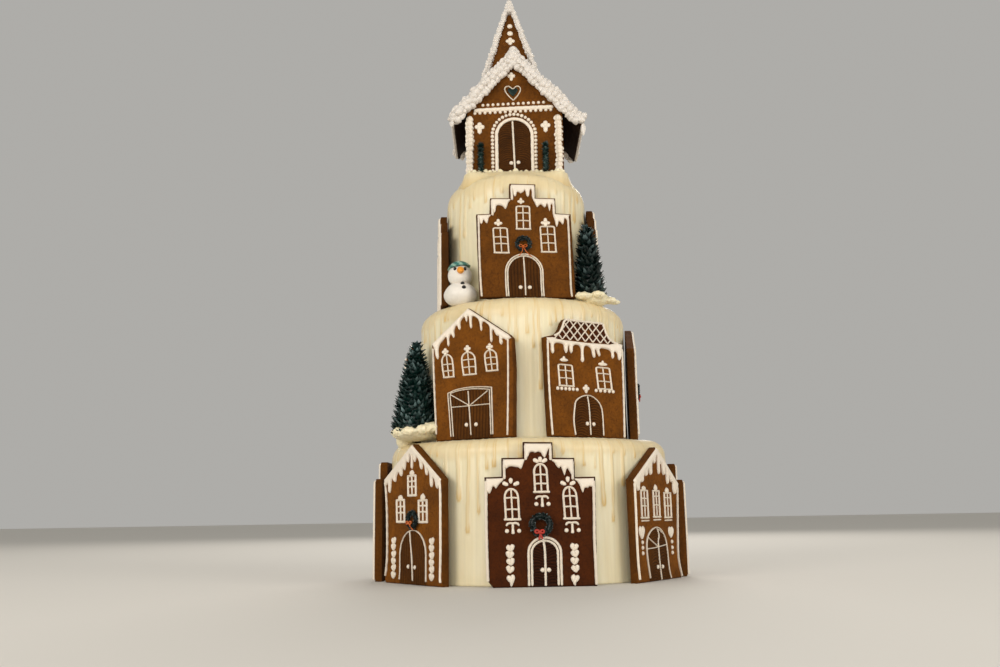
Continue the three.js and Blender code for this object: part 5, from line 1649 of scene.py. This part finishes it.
def make_fir(side, x, y, base, profile, tall, lean, leaf_size):
    """A tree of overlapping piped leaves in rows round a dark core."""
    rng = random.Random(side)
    # The right fir gets the darker leaf green and weaker glints: painted shade
    shade, finish = (1.0, "leaf") if side == "left" else (0.6, "dark_leaf")
    form = Moulding()

    def spread(share):
        return float(np.interp(share, *zip(*profile)))

    columns, rows = 24, 14
    points = []
    for share in np.linspace(0, 0.94, rows):
        reach = max(1.0, spread(share) - leaf_size * 0.72)
        along, high = x + lean * tall * share, base + tall * share
        for turn in ring_angles(columns):
            points.append((along + reach * math.cos(turn), y + reach * math.sin(turn), high))
    points += [(x, y, base), (x + lean * tall, y, base + tall * 0.96)]
    form.add(points, lathe_faces(rows, columns))
    pitch = leaf_size * 0.5
    row_count = int(tall * 0.97 / pitch)
    for row in range(row_count):
        share = row / row_count
        reach = spread(share)
        size = leaf_size * (1 - 0.28 * share)
        count = max(5, int(2 * math.pi * reach / (size * 0.58)))
        for k in range(count):
            turn = 2 * math.pi * (k + rng.uniform(-0.22, 0.22) + 0.5 * (row % 2)) / count
            out = Vector((math.cos(turn), math.sin(turn), 0))
            high = base + tall * share + rng.uniform(-0.2, 0.2) * pitch
            long = size * rng.uniform(0.85, 1.12)
            root = Vector((x + lean * tall * share, y, high)) + out * max(0.3, reach - long * 0.76)
            sideways = Vector((-out.y, out.x, 0)) * rng.uniform(-0.35, 0.35)
            way = out + sideways + Vector((0, 0, rng.uniform(0.0, 0.8)))
            # Now and then a leaf tip gets a painted highlight, weaker on the right fir
            leaf(form, root, way, long, shade * rng.random() ** 4)
    # The leaves at the top get a faint painted highlight
    tip = Vector((x + lean * tall, y, base + tall * 0.94))
    for turn in ring_angles(9):
        out = Vector((math.cos(turn), math.sin(turn), 0))
        leaf(form, tip + out * spread(1) * 0.3, out * 0.5 + Vector((0, 0, 1)), leaf_size * 0.55, 0.2)
    form.make(f"leaves_fir_{side}", [finish], "leaf_green_icing", f"fir_{side}")


# Firs: side, middle, lean, leaf beside the usual size, lift of the lowest row, and reach of the leaves'
# tips at shares of the height
FIRS = [
    ("left", (-108.5, -62), 0.02, 0.86, 2.6, [
        (0, 22.5), (0.06, 22.8), (0.24, 20.5), (0.41, 17.8), (0.57, 15), (0.75, 11.5), (0.91, 7.4), (1, 3),
    ]),
    ("right", (60.5, -62), -0.03, 1.0, 0, [
        (0, 15.7), (0.13, 15.3), (0.37, 14), (0.57, 12.3), (0.76, 10), (0.9, 7.6), (1, 3),
    ]),
]


def make_firs():
    for side, middle, lean, leaf_share, lift, profile in FIRS:
        low, high = node_box(f"fir_{side}")
        leaf_size = sizes("leaf") * leaf_share
        make_fir(side, *middle, low.z + lift, profile, high.z - low.z - lift, lean, leaf_size)


def make_topiaries():
    """Clipped shrubs beside the church door: six lobes of leaves up a stem."""
    lobes = 6
    for side in ("left", "right"):
        low, high = node_box(f"topiary_{side}")
        rng = random.Random(side + "shrub")
        middle = (low + high) / 2
        form = Moulding()
        tall = (high.z - low.z + 1) / lobes
        for lobe in range(lobes):
            centre = Vector((middle.x, middle.y, low.z + tall * (lobe + 0.5)))
            for ring, count in ((-0.8, 7), (0.1, 9), (0.9, 7)):
                for k in range(count):
                    turn = 2 * math.pi * (k + rng.uniform(-0.2, 0.2)) / count
                    way = Vector((math.cos(turn), math.sin(turn), ring))
                    # Now and then a leaf tip gets a painted highlight
                    leaf(form, centre + way * 0.4, way, rng.uniform(3.8, 4.8), rng.random() ** 7 * 0.6)
        stem = Vector((0, 0, 1)) * ((high.z - low.z) / 2)
        shell(form, middle - stem, middle + stem, 2.6, ridges=5, up=(1, 0, 0))
        form.make(f"leaves_topiary_{side}", ["leaf"], "leaf_green_icing", f"topiary_{side}")


def blend_blobs(name, blobs, voxel):
    """Soft blobs run together into one skin, as a mesh in millimetres."""
    mesh = bpy.data.meshes.new(name)
    form = Moulding()
    rows, columns = 14, 24
    tilt = np.linspace(0, math.pi, rows + 2)[1:-1]
    turn = ring_angles(columns)
    ball = (
        np.outer(np.sin(tilt), np.cos(turn)), np.outer(np.sin(tilt), np.sin(turn)),
        np.broadcast_to(np.cos(tilt)[:, None], (rows, columns)),
    )
    for (x, y, z), reach in blobs:
        ring = np.stack([part * reach[k] + (x, y, z)[k] for k, part in enumerate(ball)], 2).reshape(-1, 3)
        tips = [[x, y, z + reach[2]], [x, y, z - reach[2]]]
        form.add(np.vstack([ring, tips]), flipped(lathe_faces(rows, columns)))
    mesh.from_pydata((np.concatenate(form.points) * MM).tolist(), [], form.faces)
    piece = add_object(name, mesh)
    remesh = piece.modifiers.new("one_skin", "REMESH")
    remesh.mode = "VOXEL"
    remesh.voxel_size = voxel * MM
    soften = piece.modifiers.new("soften", "SMOOTH")
    soften.factor = 0.6
    soften.iterations = 4
    evaluated = piece.evaluated_get(bpy.context.evaluated_depsgraph_get())
    skin = bpy.data.meshes.new_from_object(evaluated)
    bpy.data.objects.remove(piece)
    return skin


# Snow banks: level below the highest point, middle, spread, and further heaps with their reach
BANKS = {
    "left": (6.6, (-107, -62), 22, [
        ((-92, -79, 2.4), (8, 8, 5)), ((-99, -83, 0.5), (7, 6, 4.4)), ((-124, -54, 0.2), (8, 8, 4.6)),
        ((-121, -73, -0.6), (7, 6, 4.6)), ((-111, -82, -0.6), (7, 5, 4)),
        ((-119, -44, -6), (9, 9, 9)), ((-121, -37, -15), (6, 8, 9)), ((-118, -72, 1), (7, 6, 3.6)),
    ]),
    "right": (5, (62, -61), 15, [
        ((77, -62, -2.4), (8, 6, 3.4)), ((52, -76, -0.6), (8, 6, 3.6)), ((66, -75, 0.4), (7, 6, 3.4)),
        ((46, -64, -0.8), (6, 7, 3.6)), ((84, -59, -3.4), (5, 4, 2.4)),
    ]),
}


def make_snow_banks():
    for side, (drop, (x, y), spread, heaps) in BANKS.items():
        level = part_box(f"snow_bank_{side}")[1].z / MM - drop
        rng = random.Random(side + "snow")
        blobs = [((x, y, level - 2.6), (spread, spread, 6))]
        blobs += [((u, v, level + up), reach) for (u, v, up), reach in heaps]
        for k in range(11):
            turn = 2 * math.pi * k / 11 + 0.3
            out = spread * rng.uniform(0.7, 0.95)
            size = rng.uniform(2.8, 4.6)
            spot = (x + out * math.cos(turn), y + out * math.sin(turn), level + rng.uniform(-1, 1.4))
            blobs.append((spot, (size * 1.2, size, size * 0.7)))
        skin = blend_blobs(f"snow_{side}", blobs, 0.9)
        for point in skin.vertices:
            spot = point.co / MM
            rough = min(1, max(0.15, (spot.z - level + 9) / 6))
            bumps = 0.9 * noise.noise(spot / 3.4) + 0.6 * noise.noise(spot / 1.7)
            point.co += point.normal * rough * bumps * MM
        skin.materials.append(material("poured"))
        skin.shade_smooth()
        place_piece(f"snow_bank_{side}_icing", skin, f"snow_bank_{side}")


def round_form(form, centre, reach, squash=1.0, lump=0.0, seed=0, tone=None, low=-1.0):
    """A hand-rolled ball, cut flat below where it meets its neighbour."""
    rows, columns = 26, 40
    tilt = np.linspace(0, math.acos(low), rows)
    x0, y0, z0 = centre
    points = []
    for t in tilt:
        for a in ring_angles(columns):
            way = Vector((math.sin(t) * math.cos(a), math.sin(t) * math.sin(a), math.cos(t)))
            size = reach * (1 + lump * noise.noise(way * 1.4 + Vector((seed, 0, 0))))
            points.append((x0 + way.x * size, y0 + way.y * size, z0 + way.z * size * squash))
    points += [(x0, y0, z0 + math.cos(t) * reach * squash) for t in (tilt[0], tilt[-1])]
    tones = 0.0 if tone is None else np.array([tone(Vector(point)) for point in points])
    form.add(points, flipped(lathe_faces(rows, columns)), tones)


def make_snowman():
    """A ball for the body and one for the head, buttons, eyes, a carrot nose and a striped beanie."""
    x, y = SNOWMAN
    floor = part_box("snowman_body")[0].z / MM
    head_at = floor + 30.2
    top = Vector((x, y, head_at + 2.6))
    body, buttons, head, eyes, nose, hat = (Moulding() for _ in range(6))
    round_form(body, (x + 0.5, y, floor + 11.2), 15.8, 0.79, 0.05, 2, low=-0.9)
    for across, out, high in ((3, 11.4, 19.8), (4.3, 14.2, 15.4)):
        round_form(buttons, (x + across, y - out, floor + high), 2, 0.9)
    round_form(head, (x, y, head_at), 11.8, 0.94, 0.04, 6)
    for side in (-4.2, 5.4):
        round_form(eyes, (x + side, y - 9.9, head_at + 4.4), 1.5, 1.2)
    shell(nose, (x + 0.8, y - 9, head_at + 4), (x + 1.8, y - 20, head_at - 0.5), 3.1, ridges=0)

    def stripes(point):
        return 1.0 if math.sin((point.x - x) * 0.9 + (point.z - head_at) * 0.6) > 0.2 else 0.0

    round_form(hat, top, 12.6, 0.95, 0.03, 9, stripes, low=0.44)
    spot = Matrix.Translation(top)
    tilted = spot @ Matrix.Rotation(math.radians(-9), 4, "Y") @ spot.inverted()
    for form, name, finish, part in (
        (body, "body", "white_fondant", "body"), (buttons, "buttons", "black_fondant", "body"),
        (head, "head", "white_fondant", "head"), (eyes, "eyes", "black_fondant", "head"),
        (nose, "nose", "carrot", "head"),
    ):
        form.make(f"fondant_snowman_{name}", [finish], "white_icing", f"snowman_{part}")
    hat.make("fondant_snowman_beanie", ["beanie"], "teal_fondant", "snowman_hat", tilted)


# Operators, one for each group of pieces


class CAKE_OT_tiers(bpy.types.Operator):
    """Pour the icing over the three tiers"""

    bl_idname = "cake.tiers"
    bl_label = "Iced Tiers"

    def execute(self, context):
        for name in HEIGHTS:
            make_tier(name)
        return {"FINISHED"}


class CAKE_OT_houses(bpy.types.Operator):
    """Bake and pipe the gingerbread houses round the tiers"""

    bl_idname = "cake.houses"
    bl_label = "Gingerbread Houses"

    def execute(self, context):
        for i, (tier, side, _, name, _, finish, tall) in enumerate(HOUSES):
            place = house_frame(tier, side) @ Matrix.Diagonal((1, tall, 1, 1))
            node = f"house_{tier}_{side}"
            spacing = 2.2 if side.startswith("front") else 3.2
            make_biscuit(node, DESIGNS[name], finish, place, 3.7 * i + 1, spacing)
            make_piping(node, DESIGNS[name], place, i + 1)
        return {"FINISHED"}


class CAKE_OT_wreaths(bpy.types.Operator):
    """Hang wreaths with bows on the houses"""

    bl_idname = "cake.wreaths"
    bl_label = "Wreaths"

    def execute(self, context):
        for wreath in WREATHS:
            make_wreath(*wreath)
        return {"FINISHED"}


class CAKE_OT_church(bpy.types.Operator):
    """Build the gingerbread church, its roof and its steeple"""

    bl_idname = "cake.church"
    bl_label = "Church"

    def execute(self, context):
        make_church()
        make_steeple()
        make_topiaries()
        return {"FINISHED"}


class CAKE_OT_trees(bpy.types.Operator):
    """Pipe the firs and the snow they stand in"""

    bl_idname = "cake.trees"
    bl_label = "Firs and Snow"

    def execute(self, context):
        make_snow_banks()
        make_firs()
        return {"FINISHED"}


class CAKE_OT_snowman(bpy.types.Operator):
    """Model the fondant snowman"""

    bl_idname = "cake.snowman"
    bl_label = "Snowman"

    def execute(self, context):
        make_snowman()
        return {"FINISHED"}


class CAKE_OT_stage(bpy.types.Operator):
    """Set up the floor, the lights and the camera"""

    bl_idname = "cake.stage"
    bl_label = "Stage"

    def execute(self, context):
        make_floor()
        make_lights()
        make_camera()
        return {"FINISHED"}


def make_floor():
    mesh = bpy.data.meshes.new("floor")
    reach = 40
    corners = [(x * reach, y * reach, 0) for x, y in ((-1, -1), (1, -1), (1, 1), (-1, 1))]
    mesh.from_pydata(corners, [], [(0, 1, 2, 3)])
    # Matt paper gives an even, pale ground with no shine
    paper, tree = start_material("pale_matt_paper")
    finish_material(tree, {"Base Color": (*linear("DAD6CE"), 1), "Roughness": 0.8})
    mesh.materials.append(paper)
    add_object("floor", mesh)


def make_light(name, spot, size, power, tint):
    """A round soft lamp that points at the cake's middle."""
    data = bpy.data.lights.new(name, "AREA")
    data.shape = "DISK"
    data.size = size
    data.energy = power
    data.color = tint
    light = add_object(name, data)
    light.location = spot
    light.rotation_euler = (Vector(LAMPS_AIM) - Vector(spot)).to_track_quat("-Z", "Y").to_euler()


def make_lights():
    for name, lamp in LAMPS.items():
        make_light(f"softbox_{name}", *lamp)
    world = bpy.data.worlds.new("studio")
    bpy.context.scene.world = world
    world.use_nodes = True
    background = world.node_tree.nodes["Background"]
    background.inputs["Color"].default_value = (*linear("E9E7E2"), 1)
    background.inputs["Strength"].default_value = ROOM_LIGHT
    bpy.context.scene.view_settings.view_transform = "Standard"


def make_camera():
    """The photograph's view: low and close, looking up, turned a little clockwise."""
    data = bpy.data.cameras.new("camera")
    data.sensor_width = 36
    data.lens = CAMERA["lens"]
    data.clip_start = 0.01
    camera = add_object("camera", data)
    tilt = Matrix.Rotation(math.radians(90 + CAMERA["up"]), 4, "X")
    roll = Matrix.Rotation(-math.radians(CAMERA["roll"]), 4, "Z")
    camera.matrix_world = Matrix.Translation(CAMERA["place"]) @ tilt @ roll
    bpy.context.scene.camera = camera


OPERATORS = (
    CAKE_OT_tiers, CAKE_OT_houses, CAKE_OT_wreaths, CAKE_OT_church, CAKE_OT_trees, CAKE_OT_snowman,
    CAKE_OT_stage,
)


class CAKE_PT_panel(bpy.types.Panel):
    """Lists the cake's sizes, colours and pieces."""

    bl_idname = "CAKE_PT_panel"
    bl_label = "Gingerbread Cake"
    bl_space_type = "VIEW_3D"
    bl_region_type = "UI"
    bl_category = "Cake"

    def draw(self, context):
        for group in (context.scene.cake_sizes, context.scene.cake_colours):
            box = self.layout.box()
            for name in group.__annotations__:
                box.prop(group, name)
        for operator in OPERATORS:
            self.layout.operator(operator.bl_idname)


CLASSES = (CakeColours, CakeSizes, *OPERATORS, CAKE_PT_panel)


def register():
    for each in CLASSES:
        bpy.utils.register_class(each)
    bpy.types.Scene.cake_colours = bpy.props.PointerProperty(type=CakeColours)
    bpy.types.Scene.cake_sizes = bpy.props.PointerProperty(type=CakeSizes)


def unregister():
    del bpy.types.Scene.cake_colours
    del bpy.types.Scene.cake_sizes
    for each in reversed(CLASSES):
        bpy.utils.unregister_class(each)


def main():
    register()
    bpy.ops.cake.tiers()
    bpy.ops.cake.houses()
    bpy.ops.cake.wreaths()
    bpy.ops.cake.church()
    bpy.ops.cake.trees()
    bpy.ops.cake.snowman()
    bpy.ops.cake.stage()


if __name__ == "__main__":
    main()
